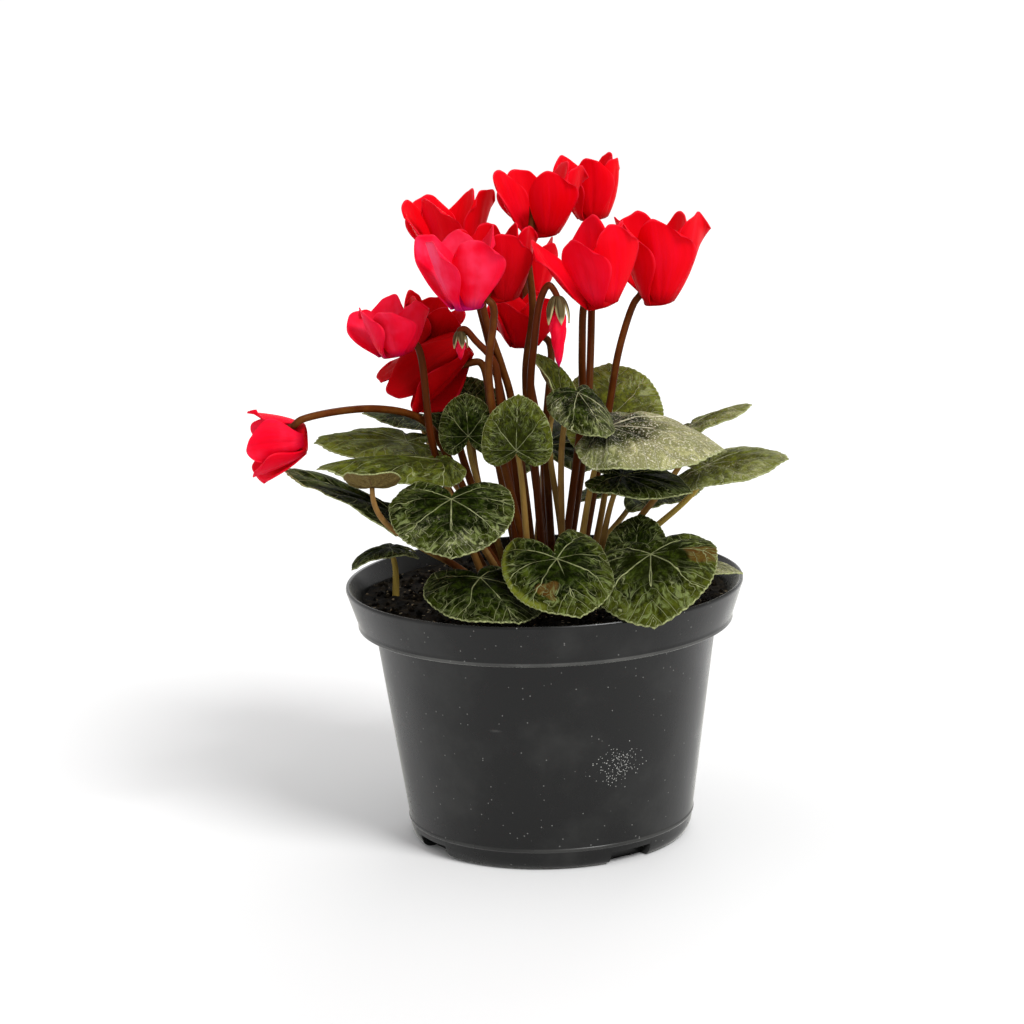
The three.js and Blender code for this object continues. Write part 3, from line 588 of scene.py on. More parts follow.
def bladeShape(leaf):
    # x = s R sin a, y = s R cos a over shares s and turns a, with fine teeth on the rim. The sheet is
    # quilted between its ray veins, sunk along them, rippled at the rim, and rolled across and along.
    share = column(blade["rows"]) ** 0.85
    angle = (roundTurn(blade["columns"]) + math.pi) % tau - math.pi
    saw = np.abs((angle * blade["teeth"] / tau) % 1 - 0.5) * 2
    toothed = bladeReach(angle) * (1 + blade["tooth"] * (saw - 0.4) * smooth(0.9, 1, share))
    x, y = share * toothed * np.sin(angle), share * toothed * np.cos(angle)
    size, wide, seed = leaf["length"], leaf["length"] * leaf["width"], leaf["seed"]
    across, along = x * wide, np.where(y < 0, y * leaf["lobes"], y) * size
    ray = np.abs((np.abs(angle) / blade["rays"] + 0.5) % 1 - 0.5) * blade["rays"] * share
    middle = leaf["ripple"] * size * share ** 2 * np.sin(leaf["waves"] * angle + leaf["phase"])
    middle = middle + 0.005 * size * share ** 6 * np.sin(17 * angle + leaf["phase"] * 3)
    quilt = blade["quilt"] * size * smooth(0, 0.12, ray) * np.sin(math.pi * share) ** 0.8
    quilt += 0.012 * size * (softNoise(x, y, 0.11, seed) - 0.5) * share
    middle = middle + quilt - 0.012 * size
    thick = blade["thickness"] / 2 * (1 - 0.45 * smooth(0.8, 1, share))
    basis, faces = np.array(leafBasis(leaf)), []
    for off in (middle + thick, middle - thick):
        bentX, lift = bend(across, off, math.radians(leaf["across"]) / (0.75 * wide))
        bentY, bentZ = bend(along, lift, math.radians(leaf["along"]) / size)
        faces.append(np.stack([bentX, bentY, bentZ], -1) @ basis + np.array(leaf["joint"]))
    spot = 0.0
    if leaf["brown"]:
        patchX, patchY, reach = leaf["brown"]
        away = np.hypot(x - patchX, y - patchY) + 0.12 * (softNoise(x, y, 0.15, 9) - 0.5)
        spot = 1 - smooth(reach * 0.45, reach, away)
    band = share + 0.04 * softNoise(x, y, 0.2, 3)
    margin = smooth(0.98 - leaf["margin"], 1.03 - leaf["margin"], band) * smooth(0.35, 0.65, np.sin(angle))
    silver = leaf["silver"] + leaf["tip"] * smooth(-0.05, 0.45, y)
    return shell(*faces, wrap=True, flatX=x, flatY=y, share=share, silver=silver, yellow=leaf["yellow"],
                 spot=spot, margin=margin, seed=seed * 3.7)


def veinGroup():
    # the pattern of a blade from its flat coordinates: rays that curve from the stalk to the rim, side
    # branches that arch off them, faint cells, and pale feathering that runs outward in broken strokes,
    # which is partly the leaf's own marbling and partly painted glints
    names = ["Rays", "Net", "Feather", "Cloud", "Blotch"]
    tree, given, out = newGroup("leafVeins", {"X": 0.0, "Y": 0.0, "Seed": 0.0}, names)
    x, y, seed = given["X"], given["Y"], given["Seed"]
    flat = combined(x, y, seed)
    bent = noise(flat, 4.0, 2, 0.5) - 0.5
    away = (x * x + y * y).math("SQRT")
    side = x.math("ARCTAN2", y)
    turn = abs(side)
    turn = turn + (turn.math("SINE") * 0.3 + bent * 0.6) * away
    spacing = 0.86
    gap = abs((turn / spacing + 0.5).math("FRACT") - 0.5) * spacing
    offRay = gap * away
    rays = ramp(offRay / ramp(away, 0.0, 1.0, 0.011, 0.0055), 0.4, 1.2, 1.0, 0.0)
    steps = away * 6.5 - offRay * 7.0 + bent * 3.0
    branches = ramp(abs(steps.math("FRACT") - 0.5), 0.015, 0.07, 1.0, 0.0)
    push = {0: noise(flat, 12.0, 2.0, 0.5, "Color"), 1: (0.14, 0.14, 0.0), 2: flat}
    shifted = addNode(tree, "ShaderNodeVectorMath", push, operation="MULTIPLY_ADD")
    edges = {"Vector": shifted, "Scale": 10.0, "Randomness": 1.0}
    cells = addNode(tree, "ShaderNodeTexVoronoi", edges, "Distance", feature="DISTANCE_TO_EDGE")
    stroke = combined((side + bent * 0.5) * 3.2, away * 1.7 - gap, seed)
    setInputs(out, {
        "Rays": rays, "Net": largest(branches, ramp(cells, 0.01, 0.06, 1.0, 0.0) * 0.15),
        "Feather": ramp(noise(stroke, 3.0, 5, 0.7), 0.5, 0.64), "Cloud": noise(flat, 3.2, 4, 0.6),
        "Blotch": noise(flat, 8.0, 4, 0.7),
    })
    return tree


def leafMaterial():
    # dark green under silver marbling, pale feathering that is partly painted glints, pale veins and a pale
    # edge, and a brownish underside
    made, tree, shader, where = newMaterial("silver veined blade")
    x, y, seed, share = (field(tree, name) for name in ("flatX", "flatY", "seed", "share"))
    silver, yellow = field(tree, "silver"), field(tree, "yellow")
    rays, net, featherAndGlints, cloud, blotch = useGroup(tree, veinGroup(), X=x, Y=y, Seed=seed).values()
    body = mixed(ramp(blotch, 0.45, 0.7), blade["dark"], blade["light"])
    olive = mixed(ramp(blotch, 0.4, 0.65), blade["olive"], blade["yellowGreen"])
    body = mixed(ramp(yellow, 0.3, 1.0, 0.0, 0.8), body, olive)
    outer = ramp(share * 0.55 + blotch * 0.9, 0.76, 1.02)
    body = mixed(outer * (yellow * 0.6 + 0.02), body, blade["yellowGreen"])
    body = mixed(field(tree, "margin"), body, blade["yellowGreen"])
    band = ramp(share, 0.25, 0.8, -0.28, 0.15) + (cloud - 0.5)
    marbled = ramp(band + silver, 0.55, 1.1, 0.0, 0.85) * ramp(featherAndGlints, 0.0, 1.0, 0.6, 1.0)
    frosted = ramp(silver + cloud * 0.4, 0.5, 1.1)
    silverColour = mixed(frosted, blade["silver"], blade["frost"])
    body = mixed(marbled, body, silverColour)
    patch = ramp(field(tree, "spot") + (blotch - 0.5), 0.4, 0.8, 0.0, 0.7)
    body = mixed(patch, body, blade["brownPatch"])
    outward = ramp(share + (cloud - 0.5), 0.3, 0.85, 0.05, 0.85)
    # the pale strokes are partly the leaf's own feathering and partly painted glints
    upper = mixed(featherAndGlints * (outward * ramp(silver, 0.0, 0.5, 0.35, 0.9)), body, silverColour)
    faded = ramp(cloud + share * 0.25, 0.4, 0.75, 0.35, 0.85)
    lines = largest(rays * faded, net * (outward * 0.55))
    upper = mixed(lines, upper, mixed(frosted, blade["vein"], blade["paleVein"]))
    beads = ramp(noise(where, 1100, 2, 0.5), 0.4, 0.6, 0.25, 1.0)
    upper = mixed(ramp(share, 0.98, 0.993) * beads, upper, blade["vein"])
    dusty = ramp(noise(where, 1500, 3, 0.7), 0.54, 0.64) * ramp(silver + cloud, 0.9, 1.5, 0.0, 0.75)
    upper = mixed(dusty, upper, blade["dust"])
    under = mixed(yellow, blade["under"], blade["paleUnder"])
    under = mixed(ramp(blotch, 0.4, 0.7, 0.0, 0.45), under, blade["darkUnder"])
    under = mixed(rays * 0.6, under, blade["redVein"])
    under = mixed(ramp(share, 0.96, 0.985, 0.0, 0.9), under, blade["vein"])
    setInputs(shader, {
        "Base Color": mixed(field(tree, "face"), under, upper),
        "Roughness": ramp(cloud, 0.3, 0.8, blade["roughness"] - 0.05, blade["roughness"] + 0.14),
        "Normal": bump(rays * -1.0 + net * -0.7 + blotch * 0.8, 0.9, 0.6),
        "Specular IOR Level": 0.01, "Specular Tint": (0.9, 1, 0.5),
    })
    return made


leafLook = leafMaterial()
for leaf in leaves:
    makePiece("blade_" + leaf["name"], bladeShape(leaf), leafLook, ["leaf_" + leaf["name"]])
print("leaves ready:", len(leaves))

# Stalks and stems: radii and depths in millimetres, and colours, one of them painted on one side as a
# highlight
stalk = {
    "footRadius": 1.25, "topRadius": 0.8, "swelling": 0.35, "sides": 12, "steps": 40, "inTuber": 1.5,
    "inSoil": 4.7, "foot": (0.12, 0.036, 0.010), "top": (0.27, 0.15, 0.045), "paintedLitSide": (0.34, 0.24, 0.09),
    "pale": (0.58, 0.42, 0.09), "roughness": 0.5,
}
stem = {
    "footRadius": 1.35, "topRadius": 0.95, "sides": 12, "steps": 120, "inTuber": 3,
    "foot": (0.085, 0.018, 0.002), "top": (0.11, 0.014, 0.003), "paintedLitSide": (0.17, 0.07, 0.010),
    "pale": stalk["pale"], "roughness": 0.42,
}


def tubeShape(path, radius, sides, **fields):
    # a round section carried along the path: centre + r (side cos a + across sin a). side is what is
    # left of the path's flattest direction once the part along the path is taken out.
    ahead = np.gradient(path, axis=0)
    ahead /= np.linalg.norm(ahead, axis=1, keepdims=True)
    flattest = np.linalg.svd(path - path.mean(0), full_matrices=False)[2][2]
    side = flattest - (ahead @ flattest)[:, None] * ahead
    side /= np.linalg.norm(side, axis=1, keepdims=True)
    across = np.cross(ahead, side)
    turn = roundTurn(sides)
    section = side[:, None] * np.cos(turn)[:, None] + across[:, None] * np.sin(turn)[:, None]
    rings = path[:, None] + radius[:, None, None] * section
    rings = np.concatenate([path[None, :1].repeat(sides, 1), rings, path[None, -1:].repeat(sides, 1)])
    along = np.concatenate([[0], np.linspace(0, 1, len(path)), [1]])[:, None]
    length = np.linalg.norm(np.diff(path, axis=0), axis=1).sum()
    fields = {"along": along, "distance": along * length, "around": np.cos(turn)[None], **fields}
    return surface(rings, wrap=True, **fields)


def cubicPath(corners, steps):
    # the cubic (1-t)^3 A + 3 t (1-t)^2 B + 3 t^2 (1-t) C + t^3 D
    t = column(steps)
    a, b, c, d = (np.array(p, float) for p in corners)
    return (1 - t) ** 3 * a + 3 * t * (1 - t) ** 2 * b + 3 * t ** 2 * (1 - t) * c + t ** 3 * d


def splinePath(points, steps):
    # a smooth curve through the points: each stretch blends its four nearest ones, two by two and then
    # three by three, with knots a square root of their distance apart
    p = np.array(points, float)
    p = np.concatenate([[2 * p[0] - p[1]], p, [2 * p[-1] - p[-2]]])
    t = np.linspace(0, len(p) - 3, steps)
    i = np.minimum(t.astype(int), len(p) - 4)
    a, b, c, d = p[i], p[i + 1], p[i + 2], p[i + 3]
    gap = lambda u, v: np.sqrt(np.linalg.norm(v - u, axis=1, keepdims=True))
    t1 = gap(a, b)
    t2 = t1 + gap(b, c)
    t3 = t2 + gap(c, d)
    now = t1 + (t2 - t1) * (t - i)[:, None]
    blend = lambda u, v, lo, hi: u * (hi - now) / (hi - lo) + v * (now - lo) / (hi - lo)
    ab, bc, cd = blend(a, b, 0, t1), blend(b, c, t1, t2), blend(c, d, t2, t3)
    return blend(blend(ab, bc, 0, t2), blend(bc, cd, t1, t3), t1, t2)


def tuberTop(x, y):
    # the height of the tuber's upper side: its middle + c sqrt(1 - (x / a)^2 - (y / b)^2)
    sx, sy, sz = tuber["size"]
    return tuber["at"][2] + sz * math.sqrt(max(0, 1 - (x / sx) ** 2 - (y / sy) ** 2))


def stalkPath(leaf):
    # from the foot, climbing and leaning outward, to the underside of the blade at its joint
    ahead, up = leafBasis(leaf)[1:]
    arrival = up + ahead * leaf["lean"]
    arrival /= np.linalg.norm(arrival)
    slant = math.sqrt(max(0, 1 - float(arrival @ up) ** 2))
    below = blade["thickness"] / 2 + blade["stalkGap"] + stalk["topRadius"] * slant
    end = np.array(leaf["joint"]) - up * below
    x, y = leaf["foot"]
    base = soil["level"] - stalk["inSoil"] if leaf["inSoil"] else tuberTop(x, y) - stalk["inTuber"]
    foot = np.array([x, y, base])
    leave = np.array([x * leaf["outward"], y * leaf["outward"], 20])
    span = np.linalg.norm(end - foot)
    leave = foot + leave / np.linalg.norm(leave) * span * leaf["climb"]
    return cubicPath([foot, leave, end - arrival * span * 0.28, end + up * 0.5], stalk["steps"])


def stalkMaterial(name, look):
    # a streaked skin that changes from foot to top, with one side painted paler as a highlight, and cork
    # where corky is 1
    made, tree, shader, where = newMaterial(name)
    streak = streaks(tree, "around", "distance", 3.0, 0.06)
    blotch = noise(where, 160, 4, 0.6)
    share = field(tree, "along") + (blotch - 0.5) * 0.9
    body = mixed(ramp(share, 0.1, 0.95), look["foot"], look["top"])
    body = mixed(ramp(streak, 0.4, 0.75, 0.0, 0.5), body, [c * 0.55 for c in look["foot"]])
    body = mixed(field(tree, "pale") * 0.85, body, look["pale"])
    # painted light: one side of each tube, set by its around value, is painted paler as a highlight
    paintedLitSide = ramp(field(tree, "around"), -0.2, 0.9, 0.0, 0.4)
    body = mixed(paintedLitSide * ramp(blotch, 0.35, 0.65), body, look["paintedLitSide"])
    cork = mixed(ramp(noise(where, 420, 5, 0.7), 0.42, 0.66), tuber["crackColour"], tuber["colour"])
    setInputs(shader, {
        "Base Color": mixed(field(tree, "corky"), body, cork), "Specular IOR Level": 0.1,
        "Specular Tint": (1, 0.85, 0.6), "Roughness": look["roughness"], "Normal": bump(streak, 0.3, 0.2),
    })
    return made


def stalkShape(leaf):
    # a tube on the stalk's path: r falls evenly toward the blade, and swells by exp(-12 t) at the foot
    radius = np.linspace(stalk["footRadius"], stalk["topRadius"], stalk["steps"])
    radius += stalk["swelling"] * np.exp(-np.linspace(0, 12, stalk["steps"]))
    pale = leaf.get("pale", float(chance(leaf["seed"] + 50)) * 0.4)
    return tubeShape(stalkPath(leaf), radius, stalk["sides"], pale=pale, seed=leaf["seed"] * 1.9)


def tuberShape():
    # the ball x = a cos p cos t, y = b cos p sin t, z = c sin p, pushed in and out by up to 2 percent
    turn, rise = roundTurn(tuber["sides"]), column(tuber["rows"], -math.pi / 2, math.pi / 2)
    push = 0.98 + 0.04 * softNoise(turn * 6, rise * 9 + 0 * turn, 1, 4) * np.cos(rise)
    ball = polar(np.cos(rise), turn, np.sin(rise)) * push[..., None] * np.array(tuber["size"])
    return surface(ball + np.array(tuber["at"]), wrap=True, along=0.0, corky=1.0)


stalkLook = stalkMaterial("leaf stalk skin", stalk)
grown = [tuberShape()] + [stalkShape(leaf) for leaf in leaves if not leaf["inSoil"]]
makePiece("tuberAndStalks", joined(grown), stalkLook, ["tuber_with_leaf_stalks"])
for leaf in leaves:
    if leaf["inSoil"]:
        makePiece("stalkInSoil", stalkShape(leaf), stalkLook, ["leaf_stalk_" + leaf["name"]])
print("stalks ready")

# Blooms: as in the frame, the mouth in millimetres, petal length, the turn in degrees where the stem
# enters, the stem's foot on the tuber and the points that it passes, then what differs from the
# defaults: lean and toward in degrees, how far the petals open, their width and twist. pink shifts the
# red pinker, and deep paints shade on blooms that stand in shade by darkening their red.
bloomDefaults = {"lean": 4, "toward": 180, "open": 0.25, "width": 8, "twist": 0.45, "pink": 0.15, "deep": 0.0}
bloomColumns = ("name", "at", "petal", "enter", "foot", "via")
blooms = [
    ("a", (-45, -10, 162), 18, 30, (-12, -8), [(-31, -2.8, 118), (-35, -3.4, 133)],
     dict(lean=10, width=7, pink=0.7)),
    ("b", (-26, 26, 186), 24, -60, (-6, 8), [(-10, 16, 130)], {}),
    ("c", (-21, -22, 178), 26, -20, (-4, -8), [(-14, -19, 140), (-15.5, -21, 158)], dict(pink=1.0)),
    ("d", (-11, 0, 177), 25, 225, (-3, 0), [(-9, -2, 146), (-11.5, -3, 156)],
     dict(width=7, open=0.16, deep=0.5)),
    ("e", (-3, 46, 171), 19, -90, (0, 14), [(1, 28, 120), (-3, 39, 147)], dict(width=7.3, twist=0.3)),
    ("f", (3, 19, 195), 24, -130, (1, 4), [(-4, 10, 150), (-1, 9.5, 172)], {}),
    ("g", (19.8, 40.5, 197.5), 22, 90, (8, 12), [(16, 21, 135)], dict(open=0.17, width=7.3, twist=0.2)),
    ("h", (21, -6, 175), 28, 135, (6, -4), [(14, 11, 138), (14.5, 4, 158)],
     dict(lean=14, open=0.28, pink=0.3)),
    ("i", (39.8, 16.3, 172), 31, 160, (12, 0), [(23, 15, 138), (27, 15, 158)],
     dict(open=0.23, width=10, twist=0.4)),
    ("j", (-74, -25, 138.5), 19, 325, (-14, -1), [(-30, 1, 126), (-37, 0, 138), (-52, -12, 145)],
     dict(lean=92, toward=178, width=7.3, twist=0.2, pink=0.6)),
    ("k", (-23.5, 9, 161.5), 30, 180, (-8, 3), [(-15, 8, 130)],
     dict(lean=130, toward=182, width=6.5, open=0.08, deep=1.5)),
    ("l", (-38, 25, 156), 20, -20, (-14, 6), [(-27, 11, 130)],
     dict(lean=20, toward=0, width=7.3, twist=0.2, deep=1.0)),
    ("m", (-4, 25, 158), 18, 0, (3, 9), [(2, 13, 130)], dict(lean=2, width=7, twist=0.35, deep=0.3)),
]
blooms = [{**bloomDefaults, "seed": 20 * i, **dict(zip(bloomColumns, row)), **row[-1]}
          for i, row in enumerate(blooms)]
petal = {
    "thickness": 0.7, "mouth": 4.4, "tube": 6.6, "turns": (56, 118, 180, 242, 304), "rows": 34, "columns": 26,
    "cupSides": 60, "red": (0.82, 0.0001, 0.0025), "pinkRed": (0.96, 0.005, 0.05), "roughness": 0.5,
    "deepAndShadedRed": (0.36, 0.0001, 0.0015), "nose": (0.38, 0.004, 0.12), "rim": (0.96, 0.03, 0.07),
    "paintedHighlight": (0.97, 0.09, 0.2),
}


def bloomPlace(bloom, points):
    # turns the points by the lean about the level axis square to toward, then moves them to the mouth
    toward, lean = math.radians(bloom["toward"]), math.radians(bloom["lean"])
    turn = np.array(Matrix.Rotation(lean, 3, (-math.sin(toward), math.cos(toward), 0)))
    return points @ turn.T + np.array(bloom["at"])


def petalShape(bloom, index):
    # across u from -1 to 1 and along v from 0 to 1. The half width grows to a round top and the cone's
    # radius opens with v. Length, spread, skew, ruffles, folds and the pointed tip differ by petal.
    seed = bloom["seed"] + index
    draw = [float(chance(seed + step)) for step in range(0, 45, 5)]
    u, v = column(petal["columns"], -1, 1).T, column(petal["rows"])
    length = bloom["petal"] * (1 - 0.12 * draw[0])
    spread = bloom["open"] * (0.75 + 0.5 * draw[1])
    skew = 0.26 * (draw[2] - 0.5) * v ** 2
    widen = np.sin(math.pi / 2 * np.minimum(1, (v / 0.72) ** 1.3))
    rounding = 0.3 * (np.maximum(0, v - 0.72) / 0.28) ** 2
    half = 2.1 * (1 - v) + bloom["width"] * (widen - rounding)
    radius = petal["mouth"] + bloom["petal"] * (spread * v + 0.1 * (1 - (1 - v) ** 3))
    ruffle = 0.8 * v ** 2 * np.sin((3.2 + 2 * draw[3]) * u + tau * draw[4] + 2.5 * v) * (0.35 + 0.65 * u ** 2)
    lip = (1.2 * draw[5] - 0.4) * smooth(0.8, 1, v) * (0.3 + 0.7 * np.cos(2.6 * u + 4 * draw[6]))
    crease = -0.4 * np.exp(-((u - 0.15 * v) / 0.13) ** 2) * np.sin(math.pi * v)
    angle = math.radians(bloom["enter"] + petal["turns"][index]) + skew + u * half / radius
    tip = 0.03 * draw[7] ** 2 * np.exp(-(u / 0.2) ** 2) + 0.014 * np.sin(5 * u + tau * draw[8]) - 0.03
    top = length * (v - 0.05 * np.sin(math.pi * v) - 0.2 * np.abs(u) ** 2.8 * v ** 3) + length * v ** 7 * tip
    sides = []
    for off in (petal["thickness"] / 2, -petal["thickness"] / 2):
        out = radius + bloom["twist"] * u * half + off * (1 - 0.5 * v ** 3) + ruffle + crease + lip
        sides.append(bloomPlace(bloom, polar(out, angle, top)))
    # deep carries the painted shade: the bloom's own amount, a little more on some petals at random
    return shell(*sides, along=v, across=u, seed=seed * 1.3, pink=bloom["pink"] * (0.6 + 0.6 * draw[3]),
                 deep=bloom["deep"] + 0.12 * draw[6])


def cupShape(bloom):
    # the tube of the bloom with its mouth down: a turned profile whose lip has five low lobes
    mouth, tube = petal["mouth"], petal["tube"]
    corners = [[0, 3.2], [3, 0.4], [mouth - 0.4, -0.6], [mouth + 0.6, 0.3], [2.6, tube - 0.7], [0, tube]]
    profile = roundedProfile(corners, [1.5, 0.7, 0.9, 1.6], 6)
    radius, height, turn = profile[:, :1], profile[:, 1:], roundTurn(petal["cupSides"])
    lobe = 1 + 0.05 * np.cos(5 * turn) * np.exp(-(height / 2) ** 2)
    return surface(bloomPlace(bloom, polar(radius * lobe, turn, height)), wrap=True, along=-0.1,
                   across=np.sin(turn)[None], seed=bloom["seed"], pink=bloom["pink"], deep=bloom["deep"])


def petalMaterial():
    # satin red with fine streaks, pinker by bloom, painted shade that darkens blooms standing in shade, a
    # painted highlight in the middle of pinker petals, a darker nose and a light edge
    made, tree, shader, where = newMaterial("satin petal")
    along, across, pink, deep = (field(tree, name) for name in ("along", "across", "pink", "deep"))
    streak = streaks(tree, "across", "along", 9.0, 0.12)
    cloud = noise(where, 90, 3, 0.5)
    body = mixed(pink * ramp(cloud, 0.25, 0.75, 0.5, 1.0), petal["red"], petal["pinkRed"])
    body = mixed(ramp(streak, 0.5, 0.8, 0.0, 0.14), body, petal["deepAndShadedRed"])
    body = mixed(ramp(streak, 0.5, 0.25, 0.0, 0.16), body, petal["pinkRed"])
    # painted highlight: the middle of the pinker petals is painted paler pink, in patches
    middle = ramp(abs(across), 0.0, 0.9, 0.75, 0.1)
    body = mixed(middle * ramp(cloud, 0.35, 0.7) * (pink * pink), body, petal["paintedHighlight"])
    # painted shade: blooms that stand in shade are darkened toward deep red, most toward the petals' base
    body = mixed(deep * ramp(along, 0.3, 1.0, 1.2, 0.5), body, petal["deepAndShadedRed"])
    edge = largest(ramp(abs(across), 0.93, 1.0), ramp(along, 0.965, 1.0)) * ramp(along, 0.3, 0.7, 0.0, 0.4)
    body = mixed(edge, body, petal["rim"])
    noseColour = mixed(ramp(pink, 0.6, 1.1), petal["deepAndShadedRed"], petal["nose"])
    body = mixed(ramp(along + streak * 0.16, 0.05, 0.3, 0.9, 0.0), body, noseColour)
    setInputs(shader, {
        "Base Color": body, "Roughness": petal["roughness"], "Specular IOR Level": 0.03,
        "Subsurface Weight": 0.2, "Subsurface Radius": (1.0, 0.1, 0.08), "Subsurface Scale": 1.5 * mm,
        "Normal": bump(streak, 0.2, 0.3),
    })
    return made


def insideRoute(bloom):
    # the stem's way in between two petals and over to the cup, as in the frame
    collar = petal["tube"] + 0.3
    steps = [(8.2, 0.2), (5.6, 3.2), (4.3, 6.6), (3.4, collar + 3.4), (1.7, collar + 5), (0.2, collar + 3.9),
             (0, collar + 0.6)]
    out, high = np.array(steps).T
    return bloomPlace(bloom, polar(out, math.radians(bloom["enter"]), high))


def calyxShape(bloom):
    # a five-pointed cap on the cup's end: radius s (2.2 + 1.3 s star) and 1.9 (1 - s^2) + 0.2 - 0.9 star s^3
    # above the cup, where star = 0.5 + 0.5 cos 5a is 1 at the points
    turn, s = roundTurn(petal["cupSides"]), column(12)
    star = 0.5 + 0.5 * np.cos(5 * turn)
    reach, height = s * (2.2 + 1.3 * star * s), petal["tube"] + 1.9 * (1 - s ** 2) + 0.2 - 0.9 * star * s ** 3
    sides = [bloomPlace(bloom, polar(reach, turn, height + off)) for off in (0.25, -0.25)]
    return shell(*sides, wrap=True, along=1.0, pale=0.35, seed=bloom["seed"])


def stemFoot(foot):
    # the first two points of a stem, straight up inside the tuber
    base = tuberTop(*foot) - stem["inTuber"]
    return [(*foot, base + 0.3), (*foot, base + 5)]


def stemShape(route, seed):
    # a tube on the curve through the route, slimmer toward the bloom
    radius = np.linspace(stem["footRadius"], stem["topRadius"], stem["steps"])
    return tubeShape(splinePath(route, stem["steps"]), radius, stem["sides"], pale=0.0, seed=seed)


petalLook = petalMaterial()
stemLook = stalkMaterial("flower stem skin", stem)
for bloom in blooms:
    letter = bloom["name"].upper()
    parts = [cupShape(bloom)] + [petalShape(bloom, index) for index in range(5)]
    makePiece("bloom" + letter, joined(parts), petalLook, ["bloom_" + bloom["name"]])
    route = [*stemFoot(bloom["foot"]), *bloom["via"], *insideRoute(bloom)]
    makePiece("stem" + letter, joined([stemShape(route, bloom["seed"] * 0.7), calyxShape(bloom)]),
              stemLook, ["flower_stem_" + bloom["name"]])
print("blooms ready:", len(blooms))

# Buds: the top of the hanging cone, its length and radius in millimetres, and the stem's route
buds = [
    {"name": "long", "at": (6.8, -16, 176), "length": 19, "radius": 2.7, "foot": (0, -4),
     "via": [(-2.5, -6, 148), (-0.9, -10, 164), (1.7, -14, 179), (4.4, -16, 183.5)]},
    {"name": "small", "at": (-24.5, -7, 166), "length": 7, "radius": 1.7, "foot": (-8, -4),
     "via": [(-12.4, -6, 146), (-14, -6, 158), (-19.5, -6.5, 165), (-23, -7, 169)]},
]
sepal = {
    "count": 5, "colour": (0.035, 0.02, 0.006), "paler": (0.09, 0.065, 0.02), "rim": (0.5, 0.42, 0.2),
    "roughness": 0.55,
}


def budShape(bud):
    # a hanging cone whose radius swells and narrows, with five rolled ridges that turn as it narrows
    s, turn = column(50), roundTurn(petal["cupSides"])
    body = np.interp(s, [0, 0.12, 0.35, 0.65, 0.88, 1], [0.55, 0.95, 1, 0.66, 0.36, 0.0])
    ridge = 1 + 0.16 * np.abs(np.sin(2.5 * (turn - 4.2 * s))) - 0.1
    points = polar(bud["radius"] * body * ridge, -turn, -s * bud["length"])
    points = np.concatenate([np.zeros((1, len(turn), 3)), points]) + np.array(bud["at"])
    along = np.concatenate([[[0]], 1 - s])
    return surface(points, wrap=True, along=along, across=np.sin(turn)[None], seed=3.0, pink=1.0, deep=0.15)


def sepalShape(bud, index):
    # a pointed sepal of the bell over the bud, half as wide in turn as 0.62 (1 - t^3), t running down it
    u, t = column(9, -1, 1).T, column(18)
    size = bud["radius"]
    turn = index / sepal["count"] * tau + u * 0.62 * (1 - t ** 3)
    reach = size * (0.1 + 1.25 * np.sin(math.pi * (0.06 + 0.52 * t ** 0.8))) - 0.12 * size * u ** 2
    height = size * (1.5 - 3.3 * t ** 1.25)
    sides = [polar(reach + off, turn, height) + np.array(bud["at"]) for off in (0.3, 0.05)]
    return shell(*sides, along=t, across=u, seed=float(index))


def sepalMaterial():
    # dark brown-green streaks with a pale edge and tip
    made, tree, shader = newMaterial("dark sepal with a pale edge")[:3]
    streak = streaks(tree, "across", "along", 4.0, 0.15)
    across, along = field(tree, "across"), field(tree, "along")
    body = mixed(ramp(streak, 0.42, 0.62), sepal["paler"], sepal["colour"])
    rim = largest(ramp(abs(across), 0.55, 0.95), ramp(along, 0.72, 0.95)) * ramp(along, 0.3, 0.6)
    setInputs(shader, {
        "Base Color": mixed(rim, body, sepal["rim"]), "Roughness": sepal["roughness"],
        "Specular IOR Level": 0.2, "Normal": bump(streak, 0.3, 0.2),
    })
    return made


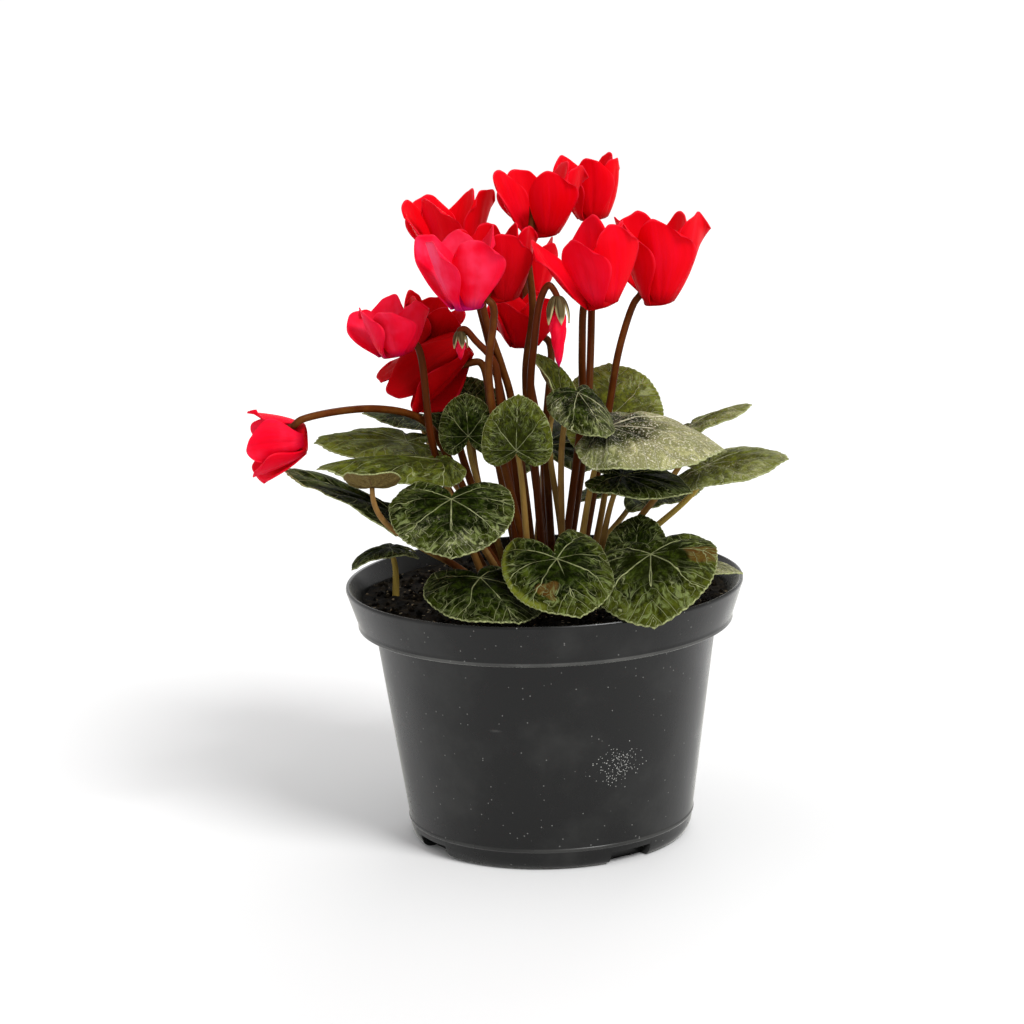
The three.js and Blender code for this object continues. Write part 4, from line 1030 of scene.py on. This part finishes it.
sepalLook = sepalMaterial()
for bud in buds:
    title, top, cap = bud["name"].capitalize(), np.array(bud["at"]), 1.3 * bud["radius"]
    route = [*stemFoot(bud["foot"]), *bud["via"], top + (0, 0, 0.3 + cap), top + (0, 0, 0.5)]
    makePiece("bud" + title, budShape(bud), petalLook, ["bud_" + bud["name"]])
    makePiece("budStem" + title, stemShape(route, 4.4), stemLook, ["bud_stem_" + bud["name"]])
    makePiece("sepals" + title, joined([sepalShape(bud, i) for i in range(sepal["count"])]), sepalLook)
print("buds ready:", len(buds))

# Floor and light
studio = {
    "floorSize": 30, "floorColour": (0.9, 0.9, 0.9), "sky": 0.68, "key": 2.1, "keySpread": 22,
    "keyAt": (0.8, -1.0, 1.4), "back": 4, "backSize": 0.8, "backAt": (0.3, 1.2, 0.9), "aim": (0, 0, 0.12),
}


def makeStage():
    # a broad floor at z = 0 under an even white sky
    mesh = bpy.data.meshes.new("floor")
    half = studio["floorSize"] / 2
    corners = [(-half, -half, 0), (half, -half, 0), (half, half, 0), (-half, half, 0)]
    mesh.from_pydata(corners, [], [(0, 1, 2, 3)])
    made, shader = newMaterial("pale floor")[::2]
    setInputs(shader, {"Base Color": studio["floorColour"], "Roughness": 0.9})
    mesh.materials.append(made)
    addObject("floor", mesh)
    world = bpy.data.worlds.new("studio")
    world.use_nodes = True
    setInputs(world.node_tree.nodes["Background"], {0: (1, 1, 1), 1: studio["sky"]})
    bpy.context.scene.world = world


def makeLight(name, kind, at, power, **settings):
    # a lamp that shines at the middle of the plant
    data = bpy.data.lights.new(name, kind)
    data.energy = power
    for key, value in settings.items():
        setattr(data, key, value)
    light = addObject(name, data)
    light.location = at
    away = light.location - Vector(studio["aim"])
    light.rotation_euler = away.to_track_quat("Z", "Y").to_euler()


makeStage()
makeLight("key", "SUN", studio["keyAt"], studio["key"], angle=math.radians(studio["keySpread"]))
makeLight("back", "AREA", studio["backAt"], studio["back"], size=studio["backSize"])
bpy.context.scene.view_settings.view_transform = "Standard"
print("studio ready")
